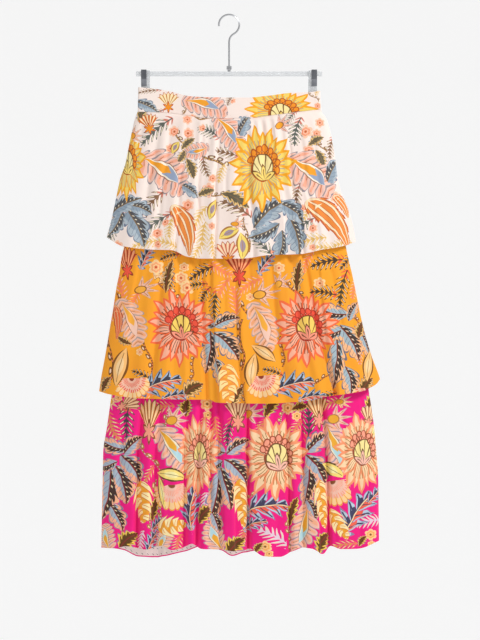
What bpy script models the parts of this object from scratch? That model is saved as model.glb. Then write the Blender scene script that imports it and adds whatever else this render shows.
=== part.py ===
"""Three-tier gathered midi skirt hanging from a clip hanger.

Metres, +Z up, +X to the viewer's right, the front faces -Y.
The origin is the inside top of the hanger's hook, where it sits on a rail.
Sizes in the tables are millimetres: drop is the distance below that seat,
across is the percentage of the way from the left side seam to the right one.
"""

from collections import namedtuple
import math

import bmesh
import bpy
import numpy as np

MM = 0.001

FRONT = -1
BACK = 1

# Cloth
CLOTH = 1.2
BAND_CLOTH = 2.0
SEAM_GAP = 0.3
LAYER_GAP = 0.35
CARRIER_INSET = 3.2
CARRIER_DROP = 0.8
ROUNDNESS = 3.0
EDGE_CALM = 6.0
CLOTH_ROUGHNESS = 0.85
SMOOTH_ANGLE = 60.0

# Gathers: how they wander, how uneven they are and where they start and die
GATHER_WANDER = 9.0
GATHER_UNEVEN = 0.4
GATHER_UNEVEN_WAVES = 17.0
GATHER_RISE = 0.05
GATHER_FULL = 0.08
GATHER_LOSS = 0.85

# Folds: how wide one is at its top edge and how fast it stands up below
FOLD_TOP_WIDTH = 0.6
FOLD_RISE = 0.7

# Columns
COLUMN_SAMPLES = 1201
BESIDE_SEAM = 0.3

# Waistband
BAND_PINCH = 4.2
BAND_SWELL = 4.3
BAND_SWELL_REACH = 0.76
BAND_GATHER_REACH = 0.7
BAND_ROUNDNESS = 150.0
BAND_COLUMNS = 40
BAND_FALLS = (0.0, 0.5, 1.0)
BAND_MIDDLE = 160.0

# Panels
FRONT_COLUMNS = 72
BACK_COLUMNS = 56
UNDERSKIRT_COLUMNS = 30
FRONT_FALLS = (0.0, 0.05, 0.16, 0.34, 0.56, 0.78, 1.0)
BACK_FALLS = (0.0, 0.06, 0.22, 0.46, 0.72, 1.0)
UNDERSKIRT_FALLS = (0.0, 0.08, 0.4, 0.7, 1.0)
TIER_TWO_SEAM = 396.0
TIER_THREE_SEAM = 659.0
UNDERSKIRT_HEM = 669.0
UNDERSKIRT_MIDDLE = 500.0
COLUMN_FALL = 0.7

# Hanger
BAR_LENGTH = 346.0
BAR_HEIGHT = 9.0
BAR_DEPTH = 6.0
BAR_TOP = -104.0
BAR_EDGE = 1.5
BAR_EDGE_STEPS = 2
HOOK_WIRE = 1.75
HOOK_RADIUS = 19.0
HOOK_SHANK = -75.0
HOOK_NECK = -50.0
HOOK_BEND = 7.0
HOOK_BEND_POINTS = 8
HOOK_JOIN_ANGLE = -62.0
HOOK_TIP_ANGLE = 188.0
HOOK_LOOP_POINTS = 25
HOOK_WIRE_STEPS = 2
COLLAR_RADIUS = 5.0
COLLAR_HEIGHT = 10.0
COLLAR_FLOOR = 2.0
COLLAR_NECK = 2.0
COLLAR_CHAMFER = 1.0
COLLAR_STEPS = 16
CLIP_CENTRE = 155.5
CLIP_WIDTH = 16.0
CLIP_WALL = 1.5
SPRING_WIDTH = 10.0
SPRING_WALL = 1.0
SPRING_TIP = -131.0

CREAM = (0.87, 0.78, 0.72)
MARIGOLD = (0.92, 0.40, 0.03)
PINK = (0.87, 0.01, 0.22)
PALE_VOILE = (0.87, 0.80, 0.75)
PALE_PLASTIC = (0.80, 0.82, 0.83)
CLEAR_PLASTIC = (0.85, 0.87, 0.88)
BRIGHT_STEEL = (0.60, 0.60, 0.60)
DARK_STEEL = (0.22, 0.23, 0.25)

Section = namedtuple("Section", "drop left right depth")
Edge = namedtuple("Edge", "across drop")
Fold = namedtuple("Fold", "top hem width depth lean")
Gather = namedtuple("Gather", "count depth stray lasts")
ClipPoint = namedtuple("ClipPoint", "y z")

WAIST_SECTIONS = (
    Section(130, -169.0, 169.5, 8.5),
    Section(160, -169.5, 170.0, 8.5),
    Section(196, -170.5, 173.5, 8.5),
)

UNDERSKIRT_SECTIONS = (
    Section(180, -165.5, 168.0, 6.8),
    Section(200, -167.5, 172.0, 7.4),
    Section(300, -175.5, 186.5, 9.5),
    Section(396, -187.0, 205.5, 12.0),
    Section(500, -196.0, 223.0, 15.5),
    Section(600, -204.0, 239.5, 18.5),
    Section(690, -212.0, 254.0, 21.0),
)

TIER_ONE_SECTIONS = (
    Section(180, -170.5, 172.5, 10.0),
    Section(192, -175.0, 181.0, 12.5),
    Section(234, -184.5, 192.0, 15.5),
    Section(276, -193.0, 198.5, 17.5),
    Section(302, -202.0, 202.0, 19.0),
    Section(324, -207.0, 207.0, 20.0),
    Section(363, -215.0, 222.5, 22.5),
    Section(389, -221.0, 230.0, 24.0),
    Section(413, -227.5, 234.5, 25.5),
    Section(456, -235.0, 241.0, 27.5),
)

TIER_TWO_SECTIONS = (
    Section(396, -189.5, 208.0, 14.0),
    Section(429, -195.0, 217.0, 18.0),
    Section(453, -200.5, 222.0, 20.0),
    Section(477, -203.5, 228.0, 22.0),
    Section(503, -209.0, 233.5, 24.0),
    Section(548, -216.0, 242.5, 27.0),
    Section(583, -222.0, 250.5, 29.5),
    Section(630, -230.0, 264.0, 32.5),
    Section(677, -238.5, 281.0, 35.5),
    Section(722, -245.0, 290.0, 38.0),
)

TIER_THREE_SECTIONS = (
    Section(659, -212.0, 253.0, 22.5),
    Section(705, -218.5, 261.0, 27.0),
    Section(768, -227.5, 270.0, 31.5),
    Section(810, -234.0, 273.5, 34.5),
    Section(864, -235.0, 277.5, 37.5),
    Section(900, -236.0, 278.0, 39.5),
    Section(1018, -238.0, 279.5, 43.0),
)

WAIST_TOP = (
    Edge(0, 133.5),
    Edge(8, 136.0),
    Edge(18, 141.5),
    Edge(29, 150.5),
    Edge(42, 152.5),
    Edge(60, 153.0),
    Edge(70, 150.0),
    Edge(84, 144.0),
    Edge(94, 142.5),
    Edge(100, 140.0),
)

WAIST_SEAM = (
    Edge(0, 179.0),
    Edge(15, 180.5),
    Edge(27, 186.0),
    Edge(38, 191.0),
    Edge(58, 191.5),
    Edge(75, 184.5),
    Edge(90, 178.0),
    Edge(100, 174.5),
)

TIER_ONE_HEM = (
    Edge(0, 412.5),
    Edge(7, 429.0),
    Edge(18, 435.5),
    Edge(27, 437.0),
    Edge(33, 449.0),
    Edge(39, 452.5),
    Edge(54, 452.5),
    Edge(65, 446.0),
    Edge(77, 444.0),
    Edge(85, 437.0),
    Edge(95, 428.5),
    Edge(100, 421.0),
)

TIER_TWO_HEM = (
    Edge(0, 698.5),
    Edge(4, 704.0),
    Edge(15, 711.0),
    Edge(29, 713.0),
    Edge(39, 713.5),
    Edge(41.5, 718.5),
    Edge(58, 720.5),
    Edge(74, 715.0),
    Edge(79, 708.5),
    Edge(87, 703.0),
    Edge(93, 697.0),
    Edge(98, 685.5),
    Edge(100, 676.0),
)

TIER_THREE_HEM = (
    Edge(0, 989.0),
    Edge(5, 989.0),
    Edge(9, 984.5),
    Edge(16, 990.0),
    Edge(22, 983.0),
    Edge(25, 990.5),
    Edge(29, 988.0),
    Edge(32.5, 979.0),
    Edge(36, 988.5),
    Edge(43.5, 990.0),
    Edge(47, 1001.0),
    Edge(51, 999.5),
    Edge(53.5, 989.0),
    Edge(58, 1001.5),
    Edge(64, 1003.5),
    Edge(71.5, 986.5),
    Edge(75, 988.0),
    Edge(79.5, 998.5),
    Edge(82.5, 984.0),
    Edge(86, 989.5),
    Edge(92, 989.5),
    Edge(100, 976.0),
)

TIER_THREE_BACK_HEM = (
    Edge(0, 989.0),
    Edge(8, 996.0),
    Edge(13, 1008.5),
    Edge(18, 1010.0),
    Edge(23, 1007.5),
    Edge(27, 1003.5),
    Edge(31, 997.5),
    Edge(36, 990.0),
    Edge(43, 997.0),
    Edge(47.5, 1008.5),
    Edge(52, 1001.0),
    Edge(60, 996.0),
    Edge(67, 1001.0),
    Edge(75, 988.0),
    Edge(84, 983.0),
    Edge(92, 984.0),
    Edge(100, 976.0),
)

TIER_ONE_FOLDS = (
    Fold(9, 9.5, 26, 5.0, 0.2),
    Fold(17, 18, 24, 4.5, -0.1),
    Fold(26, 26, 20, 6.0, 0.5),
    Fold(34, 35, 16, 5.0, 0.5),
    Fold(43, 42.5, 16, 6.0, 0.6),
    Fold(52, 52.5, 24, 5.5, 0.5),
    Fold(63, 62.5, 28, 5.0, 0.0),
    Fold(72, 71, 16, 6.0, 0.6),
    Fold(78, 77, 12, 5.0, 0.5),
    Fold(85, 85, 20, 5.0, -0.3),
    Fold(92, 93.5, 18, 5.0, 0.2),
)

TIER_TWO_FOLDS = (
    Fold(7, 6, 22, 6.0, 0.2),
    Fold(15, 14, 26, 5.0, -0.2),
    Fold(23, 23, 26, 7.0, 0.3),
    Fold(31, 32, 18, 6.0, 0.5),
    Fold(40, 43.5, 26, 9.0, -0.6),
    Fold(51, 52, 20, 6.0, -0.4),
    Fold(61, 61, 28, 6.0, 0.1),
    Fold(71, 70.5, 24, 7.0, 0.4),
    Fold(79, 77.5, 16, 4.0, 0.0),
    Fold(88, 85, 26, 9.0, -0.6),
    Fold(94, 93.5, 20, 6.0, 0.2),
)

TIER_THREE_FOLDS = (
    Fold(4, 4, 16, 4.0, 0.0),
    Fold(11, 10.5, 20, 6.0, 0.4),
    Fold(17, 16.5, 14, 6.0, 0.3),
    Fold(26, 26, 24, 8.0, 0.5),
    Fold(33, 32.7, 12, 6.0, 0.4),
    Fold(38, 37.5, 12, 7.0, 0.3),
    Fold(46, 47, 24, 9.0, 0.6),
    Fold(60, 60, 30, 8.0, 0.3),
    Fold(70, 70, 16, 5.0, 0.4),
    Fold(77, 77.5, 20, 9.0, 0.6),
    Fold(88, 89, 26, 7.0, 0.0),
    Fold(96, 96, 12, 4.0, 0.0),
)

TIER_ONE_BACK_FOLDS = (
    Fold(8, 8, 24, 5.0, -0.2),
    Fold(19, 18, 26, 5.5, 0.3),
    Fold(30, 31, 22, 6.0, -0.4),
    Fold(41, 42, 26, 5.0, 0.2),
    Fold(53, 52, 20, 6.0, -0.5),
    Fold(63, 64, 28, 5.0, 0.1),
    Fold(75, 76, 22, 6.0, 0.5),
    Fold(86, 87, 26, 5.0, -0.2),
    Fold(94, 95, 16, 4.0, 0.0),
)

TIER_TWO_BACK_FOLDS = (
    Fold(6, 6, 22, 6.0, 0.2),
    Fold(17, 16, 28, 7.0, -0.4),
    Fold(29, 28, 24, 6.0, 0.4),
    Fold(39, 40, 26, 8.0, 0.5),
    Fold(51, 50, 28, 6.0, -0.1),
    Fold(62, 63, 24, 8.0, -0.5),
    Fold(74, 73, 28, 6.0, 0.2),
    Fold(85, 84, 22, 7.0, 0.4),
    Fold(94, 94, 18, 5.0, 0.0),
)

TIER_THREE_BACK_FOLDS = (
    Fold(6, 6, 20, 6.0, 0.1),
    Fold(15, 15.5, 26, 8.0, 0.4),
    Fold(25, 26, 22, 7.0, -0.3),
    Fold(35, 34, 24, 6.0, 0.3),
    Fold(46, 47, 30, 9.0, -0.4),
    Fold(58, 58, 24, 7.0, 0.4),
    Fold(69, 70, 28, 8.0, 0.1),
    Fold(80, 81, 22, 8.0, -0.5),
    Fold(92, 91, 24, 6.0, 0.2),
)

FRONT_GATHERS = Gather(17, 1.5, 0.9, 0.5)
BACK_GATHERS = Gather(15, 1.5, 0.9, 0.55)
BAND_BACK_GATHERS = Gather(13, 0.8, 0.3, 2.0)
NO_GATHERS = Gather(0, 0.0, 0.0, 1.0)

# The clip's moulded strip, seen along the bar, from the front jaw's tip
# up over the bar and down to the back jaw's tip
CLIP_PATH = (
    ClipPoint(1.05, -156.0),
    ClipPoint(1.05, -130.0),
    ClipPoint(-4.1, -118.0),
    ClipPoint(-4.1, -102.9),
    ClipPoint(4.1, -102.9),
    ClipPoint(4.1, -118.0),
    ClipPoint(5.5, -130.0),
    ClipPoint(5.5, -156.0),
)


def read(table, key, value, at):
    """Reads one named column of a table as a smooth curve without overshoot."""
    keys = np.array([getattr(row, key) for row in table], float)
    values = np.array([getattr(row, value) for row in table], float)
    steps = np.diff(values) / np.diff(keys)
    product = steps[:-1] * steps[1:]
    total = np.where(product > 0, steps[:-1] + steps[1:], 1.0)
    inner = np.where(product > 0, 2.0 * product / total, 0.0)
    slopes = np.concatenate((steps[:1], inner, steps[-1:]))
    at = np.clip(at, keys[0], keys[-1])
    i = np.clip(np.searchsorted(keys, at) - 1, 0, len(keys) - 2)
    span = keys[i + 1] - keys[i]
    t = (at - keys[i]) / span
    rise = (3.0 - 2.0 * t) * t * t
    lead = slopes[i] * span * t * (1.0 - t) ** 2
    trail = slopes[i + 1] * span * (t - 1.0) * t * t
    return values[i] + (values[i + 1] - values[i]) * rise + lead + trail


def smooth_step(low, high, value):
    """0 below low, 1 above high, with a soft change between."""
    t = np.clip((value - low) / (high - low), 0.0, 1.0)
    return t * t * (3.0 - 2.0 * t)


def bow(across, roundness):
    """Half of a flattened oval: 0 at both side seams and 1 over the middle."""
    reach = np.abs(2.0 * across - 1.0)
    return np.sqrt(np.clip(1.0 - reach ** roundness, 0.0, 1.0))


def gather_height(gathers, across, fall):
    """Small uneven gathers that start at the top seam and die away below it."""
    if gathers.count == 0:
        return np.zeros_like(across)
    phase = gathers.count * across + gathers.stray * np.sin(GATHER_WANDER * across + 1.0)
    wave = np.sin(2.0 * math.pi * phase)
    uneven = 1.0 - GATHER_UNEVEN * (1.0 - np.sin(GATHER_UNEVEN_WAVES * across + 2.0))
    start = smooth_step(0.0, GATHER_RISE, fall)
    loss = GATHER_LOSS * smooth_step(GATHER_FULL, gathers.lasts, fall)
    return gathers.depth * wave * uneven * start * (1.0 - loss)


def fold_height(folds, across, fall, width):
    """Soft ridges from a fold table; a leaning one is steep on one side."""
    height = np.zeros_like(across)
    for fold in folds:
        centre = fold.top + (fold.hem - fold.top) * fall
        away = (100.0 * across - centre) * width / 100.0
        spread = fold.width * (FOLD_TOP_WIDTH + (1.0 - FOLD_TOP_WIDTH) * fall)
        reach = np.where(away < 0.0, spread * (1.0 + fold.lean), spread * (1.0 - fold.lean))
        ridge = np.cos(0.5 * math.pi * np.clip(away / reach, -1.0, 1.0)) ** 2
        height += fold.depth * fall ** FOLD_RISE * ridge
    return height


def waist_outline(side, across, drop, inset_x=0.0, inset_y=0.0):
    """The waistband's outer curve: pinched flat at the clips, swelling between them."""
    left = read(WAIST_SECTIONS, "drop", "left", drop) + inset_x
    right = read(WAIST_SECTIONS, "drop", "right", drop) - inset_x
    reach = (2.0 * across - 1.0) / BAND_SWELL_REACH
    swell = np.clip(1.0 - reach ** 2, 0.0, 1.0) ** 2
    depth = (BAND_PINCH - inset_y + BAND_SWELL * swell) * bow(across, BAND_ROUNDNESS)
    return left + (right - left) * across, side * (0.5 * SEAM_GAP + depth)


def tier_outline(side, sections, across, drop, relief):
    """A tier's outer curve: a flattened oval with folds standing on it."""
    left = read(sections, "drop", "left", drop)
    right = read(sections, "drop", "right", drop)
    depth = read(sections, "drop", "depth", drop) * bow(across, ROUNDNESS)
    calm = 1.0 - np.abs(2.0 * across - 1.0) ** EDGE_CALM
    return left + (right - left) * across, side * (0.5 * SEAM_GAP + depth + relief * calm)


def moved_out(side, x, y, distance):
    """Points of one ring moved square to the cloth, and along X at the side seams."""
    along_x = np.gradient(x)
    along_y = np.gradient(y)
    length = np.hypot(along_x, along_y)
    out_x = -side * along_y / length
    out_y = side * along_x / length
    out_x[0], out_y[0] = -1.0, 0.0
    out_x[-1], out_y[-1] = 1.0, 0.0
    return x + distance * out_x, y + distance * out_y


def even_columns(outline, count):
    """Column places an equal length of cloth apart, with one more beside each seam."""
    fine = np.linspace(0.0, 1.0, COLUMN_SAMPLES)
    x, y = outline(fine)
    length = np.concatenate(((0.0,), np.cumsum(np.hypot(np.diff(x), np.diff(y)))))
    places = np.linspace(0.0, length[-1], count + 1)
    beside = BESIDE_SEAM * places[1]
    places = np.concatenate(((0.0, beside), places[1:-1], (length[-1] - beside, length[-1])))
    return np.interp(places, length, fine)


def wall_rings(side, across, falls, top, hem, ring, wall):
    """Outer and inner rings of a panel from its top edge down to its hem."""
    outer = []
    inner = []
    for fall in falls:
        drop = top(across) * (1.0 - fall) + hem(across) * fall
        x, y = ring(across, drop, fall)
        inner_x, inner_y = moved_out(side, x, y, -wall)
        outer.append(np.stack((x, y, -drop), axis=1))
        inner.append(np.stack((inner_x, inner_y, -drop), axis=1))
    return np.array(outer) * MM, np.array(inner) * MM


def grid_faces(rows, columns, first):
    """Quads of one face of a wall whose points are numbered row by row."""
    for row in range(rows - 1):
        for column in range(columns - 1):
            corner = first + row * columns + column
            yield (corner, corner + columns, corner + columns + 1, corner + 1)


def wall_mesh(name, outer, inner):
    """One closed wall from its outer and inner rings."""
    rows, columns = outer.shape[:2]
    count = rows * columns
    points = np.concatenate((outer.reshape(-1, 3), inner.reshape(-1, 3)))
    faces = list(grid_faces(rows, columns, 0))
    faces += [face[::-1] for face in grid_faces(rows, columns, count)]
    top = list(range(columns))
    bottom = [(rows - 1) * columns + column for column in range(columns)]
    left = [row * columns for row in range(rows)]
    right = [row * columns + columns - 1 for row in range(rows)]
    for line in (top, bottom[::-1], left[::-1], right):
        for a, b in zip(line[:-1], line[1:]):
            faces.append((a, b, count + b, count + a))
    mesh = bpy.data.meshes.new(name)
    mesh.from_pydata([tuple(point) for point in points], [], faces)
    return mesh


def outward(mesh):
    """Turns every face of a closed mesh to the outside."""
    shape = bmesh.new()
    shape.from_mesh(mesh)
    bmesh.ops.recalc_face_normals(shape, faces=shape.faces)
    shape.to_mesh(mesh)
    shape.free()


def material(name, colour, roughness, metallic=0.0):
    """A plain Principled material."""
    made = bpy.data.materials.new(name)
    made.use_nodes = True
    shader = made.node_tree.nodes["Principled BSDF"]
    shader.inputs["Base Color"].default_value = (*colour, 1.0)
    shader.inputs["Roughness"].default_value = roughness
    shader.inputs["Metallic"].default_value = metallic
    made.diffuse_color = (*colour, 1.0)
    return made


def place(name, data, colour, roughness, metallic, parent):
    """Links one named object under the parent empty with its own material."""
    data.materials.append(material(name, colour, roughness, metallic))
    piece = bpy.data.objects.new(name, data)
    bpy.context.scene.collection.objects.link(piece)
    piece.parent = parent
    return piece


def place_cloth(name, mesh, colour, parent):
    """Links one cloth wall, shaded smooth."""
    outward(mesh)
    mesh.shade_smooth()
    mesh.set_sharp_from_angle(angle=math.radians(SMOOTH_ANGLE))
    place(name, mesh, colour, CLOTH_ROUGHNESS, 0.0, parent)


def make_waistband(side, name, gathers, parent):
    """One half of the waistband."""
    def ring(across, drop, fall):
        x, y = waist_outline(side, across, drop)
        middle = np.clip(1.0 - ((2.0 * across - 1.0) / BAND_GATHER_REACH) ** 2, 0.0, 1.0)
        relief = gather_height(gathers, across, np.full_like(across, GATHER_RISE))
        return x, y + side * middle * relief

    across = even_columns(
        lambda a: waist_outline(side, a, np.full_like(a, BAND_MIDDLE)), BAND_COLUMNS)
    outer, inner = wall_rings(
        side, across, BAND_FALLS, edge(WAIST_TOP), edge(WAIST_SEAM), ring, BAND_CLOTH)
    place_cloth(name, wall_mesh(name, outer, inner), CREAM, parent)


def underskirt_ring(side, across, drop, fall):
    """The carrier's outer curve; its top edge lies under the waistband's rim."""
    if fall == 0.0:
        return waist_outline(side, across, drop, CARRIER_INSET, CLOTH + LAYER_GAP)
    return tier_outline(side, UNDERSKIRT_SECTIONS, across, drop, 0.0)


def make_underskirt(side, name, parent):
    """One half of the plain carrier under the tiers."""
    def middle(across):
        drop = np.full_like(across, UNDERSKIRT_MIDDLE)
        return tier_outline(side, UNDERSKIRT_SECTIONS, across, drop, 0.0)

    def ring(across, drop, fall):
        return underskirt_ring(side, across, drop, fall)

    across = even_columns(middle, UNDERSKIRT_COLUMNS)
    outer, inner = wall_rings(
        side, across, UNDERSKIRT_FALLS,
        edge(WAIST_SEAM, CARRIER_DROP), level(UNDERSKIRT_HEM), ring, CLOTH)
    place_cloth(name, wall_mesh(name, outer, inner), PALE_VOILE, parent)


def make_tier(side, name, sections, folds, gathers, top, hem, seam, colour, parent):
    """One gathered half tier, its top edge on the seam ring of what carries it."""
    def ring(across, drop, fall):
        if fall == 0.0:
            return seam(side, across, drop)
        width = read(sections, "drop", "right", drop) - read(sections, "drop", "left", drop)
        relief = fold_height(folds, across, fall, width)
        relief = relief + gather_height(gathers, across, fall)
        return tier_outline(side, sections, across, drop, relief)

    columns, falls = (FRONT_COLUMNS, FRONT_FALLS) if side == FRONT else (BACK_COLUMNS, BACK_FALLS)
    across = even_columns(lambda a: ring(a, hem(a), COLUMN_FALL), columns)
    outer, inner = wall_rings(side, across, falls, top, hem, ring, CLOTH)
    place_cloth(name, wall_mesh(name, outer, inner), colour, parent)


def waist_seam_ring(side, across, drop):
    """Tier one's top edge, flush with the waistband's outer face."""
    return waist_outline(side, across, drop)


def underskirt_seam_ring(side, across, drop):
    """A lower tier's top edge, lying on the underskirt."""
    x, y = tier_outline(side, UNDERSKIRT_SECTIONS, across, drop, 0.0)
    return moved_out(side, x, y, CLOTH + LAYER_GAP)


def level(drop):
    """An edge that runs level."""
    return lambda across: np.full_like(across, drop)


def edge(table, extra=0.0):
    """An edge from its table."""
    return lambda across: read(table, "across", "drop", 100.0 * across) + extra


def make_tiers(parent):
    """The three gathered tiers, front and back."""
    make_tier(FRONT, "tier_one_front", TIER_ONE_SECTIONS, TIER_ONE_FOLDS, FRONT_GATHERS,
              edge(WAIST_SEAM, SEAM_GAP), edge(TIER_ONE_HEM), waist_seam_ring, CREAM, parent)
    make_tier(BACK, "tier_one_back", TIER_ONE_SECTIONS, TIER_ONE_BACK_FOLDS, BACK_GATHERS,
              edge(WAIST_SEAM, SEAM_GAP), edge(TIER_ONE_HEM), waist_seam_ring, CREAM, parent)
    make_tier(FRONT, "tier_two_front", TIER_TWO_SECTIONS, TIER_TWO_FOLDS, FRONT_GATHERS,
              level(TIER_TWO_SEAM), edge(TIER_TWO_HEM), underskirt_seam_ring, MARIGOLD, parent)
    make_tier(BACK, "tier_two_back", TIER_TWO_SECTIONS, TIER_TWO_BACK_FOLDS, BACK_GATHERS,
              level(TIER_TWO_SEAM), edge(TIER_TWO_HEM), underskirt_seam_ring, MARIGOLD, parent)
    make_tier(FRONT, "tier_three_front", TIER_THREE_SECTIONS, TIER_THREE_FOLDS, FRONT_GATHERS,
              level(TIER_THREE_SEAM), edge(TIER_THREE_HEM), underskirt_seam_ring, PINK, parent)
    make_tier(BACK, "tier_three_back", TIER_THREE_SECTIONS, TIER_THREE_BACK_FOLDS, BACK_GATHERS,
              level(TIER_THREE_SEAM), edge(TIER_THREE_BACK_HEM), underskirt_seam_ring, PINK, parent)


def make_bar(parent):
    """The hanger's bar, a bevelled strip."""
    mesh = bpy.data.meshes.new("hanger_bar")
    shape = bmesh.new()
    bmesh.ops.create_cube(shape, size=MM)
    bmesh.ops.scale(shape, vec=(BAR_LENGTH, BAR_DEPTH, BAR_HEIGHT), verts=shape.verts)
    bmesh.ops.bevel(shape, geom=shape.edges[:], offset=BAR_EDGE * MM,
                    segments=BAR_EDGE_STEPS, profile=0.5, affect="EDGES")
    shape.to_mesh(mesh)
    shape.free()
    outward(mesh)
    bar = place("hanger_bar", mesh, PALE_PLASTIC, 0.25, 0.0, parent)
    bar.location.z = (BAR_TOP - 0.5 * BAR_HEIGHT) * MM


def make_collar(parent):
    """The turned collar on the bar that the hook's shank stands in."""
    foot = BAR_TOP + SEAM_GAP
    head = foot + COLLAR_HEIGHT
    bore = HOOK_WIRE + SEAM_GAP
    neck = COLLAR_RADIUS - COLLAR_NECK
    profile = (
        (0.0, foot),
        (neck, foot),
        (neck, foot + COLLAR_NECK),
        (COLLAR_RADIUS, foot + 2.0 * COLLAR_NECK),
        (COLLAR_RADIUS, head - COLLAR_CHAMFER),
        (COLLAR_RADIUS - COLLAR_CHAMFER, head),
        (bore, head),
        (bore, foot + COLLAR_FLOOR),
        (0.0, foot + COLLAR_FLOOR),
    )
    mesh = bpy.data.meshes.new("hanger_collar")
    shape = bmesh.new()
    points = [shape.verts.new((radius * MM, 0.0, height * MM)) for radius, height in profile]
    lines = [shape.edges.new(pair) for pair in zip(points[:-1], points[1:])]
    bmesh.ops.spin(shape, geom=points + lines, axis=(0, 0, 1), cent=(0, 0, 0),
                   steps=COLLAR_STEPS, angle=2.0 * math.pi, use_merge=True)
    bmesh.ops.remove_doubles(shape, verts=shape.verts, dist=0.01 * MM)
    shape.to_mesh(mesh)
    shape.free()
    outward(mesh)
    place("hanger_collar", mesh, BRIGHT_STEEL, 0.3, 1.0, parent)


def hook_path():
    """The hook's centre line: a straight shank, a bend, and the round loop."""
    centre = HOOK_WIRE - HOOK_RADIUS
    join = math.radians(HOOK_JOIN_ANGLE)
    start = np.array((0.0, HOOK_NECK))
    end = np.array((HOOK_RADIUS * math.cos(join), centre + HOOK_RADIUS * math.sin(join)))
    heading = np.array((-math.sin(join), math.cos(join)))
    handles = (start, start + (0.0, HOOK_BEND), end - HOOK_BEND * heading, end)
    foot = BAR_TOP + 2.0 * SEAM_GAP + COLLAR_FLOOR
    path = [np.array((0.0, foot)), np.array((0.0, HOOK_SHANK))]
    for t in np.linspace(0.0, 1.0, HOOK_BEND_POINTS):
        weights = ((1 - t) ** 3, 3 * t * (1 - t) ** 2, 3 * t * t * (1 - t), t ** 3)
        path.append(sum(weight * handle for weight, handle in zip(weights, handles)))
    for angle in np.linspace(join, math.radians(HOOK_TIP_ANGLE), HOOK_LOOP_POINTS)[1:]:
        across = HOOK_RADIUS * math.cos(angle)
        height = centre + HOOK_RADIUS * math.sin(angle)
        path.append(np.array((across, height)))
    return path


def make_hook(parent):
    """The wire hook."""
    curve = bpy.data.curves.new("hanger_hook", "CURVE")
    curve.dimensions = "3D"
    curve.bevel_depth = HOOK_WIRE * MM
    curve.bevel_resolution = HOOK_WIRE_STEPS
    curve.use_fill_caps = True
    path = hook_path()
    line = curve.splines.new("POLY")
    line.points.add(len(path) - 1)
    for point, (x, z) in zip(line.points, path):
        point.co = (x * MM, 0.0, z * MM, 1.0)
    place("hanger_hook", curve, BRIGHT_STEEL, 0.25, 1.0, parent)


def beside(path, distance):
    """A path moved sideways, with mitred corners."""
    points = np.array(path)
    heads = np.diff(points, axis=0)
    heads /= np.linalg.norm(heads, axis=1)[:, None]
    before = np.vstack((heads[:1], heads))
    after = np.vstack((heads, heads[-1:]))
    square = np.stack((-(before + after)[:, 1], (before + after)[:, 0]), axis=1)
    square /= np.linalg.norm(square, axis=1)[:, None]
    lean = -square[:, 0] * before[:, 1] + square[:, 1] * before[:, 0]
    return points + square * (distance / lean)[:, None]


def strip(name, path, wall, low, high, colour, roughness, metallic, parent):
    """A bent strip of one width along X, from its centre line seen along the bar."""
    outline = np.vstack((beside(path, 0.5 * wall), beside(path, -0.5 * wall)[::-1]))
    mesh = bpy.data.meshes.new(name)
    shape = bmesh.new()
    corners = [shape.verts.new((low * MM, y * MM, z * MM)) for y, z in outline]
    face = shape.faces.new(corners)
    moved = bmesh.ops.extrude_face_region(shape, geom=[face])
    fresh = [item for item in moved["geom"] if isinstance(item, bmesh.types.BMVert)]
    bmesh.ops.translate(shape, vec=((high - low) * MM, 0.0, 0.0), verts=fresh)
    bmesh.ops.triangulate(shape, faces=shape.faces[:])
    shape.to_mesh(mesh)
    shape.free()
    outward(mesh)
    place(name, mesh, colour, roughness, metallic, parent)


def ended_at(tip, neighbour, height):
    """A path's end point moved along its last line to a height."""
    share = (height - tip[1]) / (neighbour[1] - tip[1])
    return tip + (neighbour - tip) * share


def make_clip(name, side, parent):
    """One clip: a moulded strip over the bar and a steel spring strip over that."""
    body_low = side * CLIP_CENTRE - 0.5 * CLIP_WIDTH
    strip("clip_" + name, CLIP_PATH, CLIP_WALL, body_low, body_low + CLIP_WIDTH,
          CLEAR_PLASTIC, 0.2, 0.0, parent)
    lift = 0.5 * CLIP_WALL + SEAM_GAP + 0.5 * SPRING_WALL
    over = beside(CLIP_PATH, lift)[1:-1]
    over[0] = ended_at(over[0], over[1], SPRING_TIP)
    over[-1] = ended_at(over[-1], over[-2], SPRING_TIP)
    outer = side * (CLIP_CENTRE + 0.5 * CLIP_WIDTH)
    inner = outer - side * SPRING_WIDTH
    strip("spring_" + name, over, SPRING_WALL, min(outer, inner), max(outer, inner),
          DARK_STEEL, 0.35, 1.0, parent)


def clear_scene():
    """Removes whatever the file opened with."""
    for item in list(bpy.data.objects):
        bpy.data.objects.remove(item, do_unlink=True)


def main():
    clear_scene()
    parent = bpy.data.objects.new("skirt_on_hanger", None)
    bpy.context.scene.collection.objects.link(parent)
    make_waistband(FRONT, "waistband_front", NO_GATHERS, parent)
    make_waistband(BACK, "waistband_back", BAND_BACK_GATHERS, parent)
    make_underskirt(FRONT, "underskirt_front", parent)
    make_underskirt(BACK, "underskirt_back", parent)
    make_tiers(parent)
    make_bar(parent)
    make_collar(parent)
    make_hook(parent)
    make_clip("left", -1, parent)
    make_clip("right", 1, parent)


main()
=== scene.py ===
"""Looks of the three-tier gathered midi skirt on its clip hanger."""

from collections import namedtuple
import math

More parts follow.
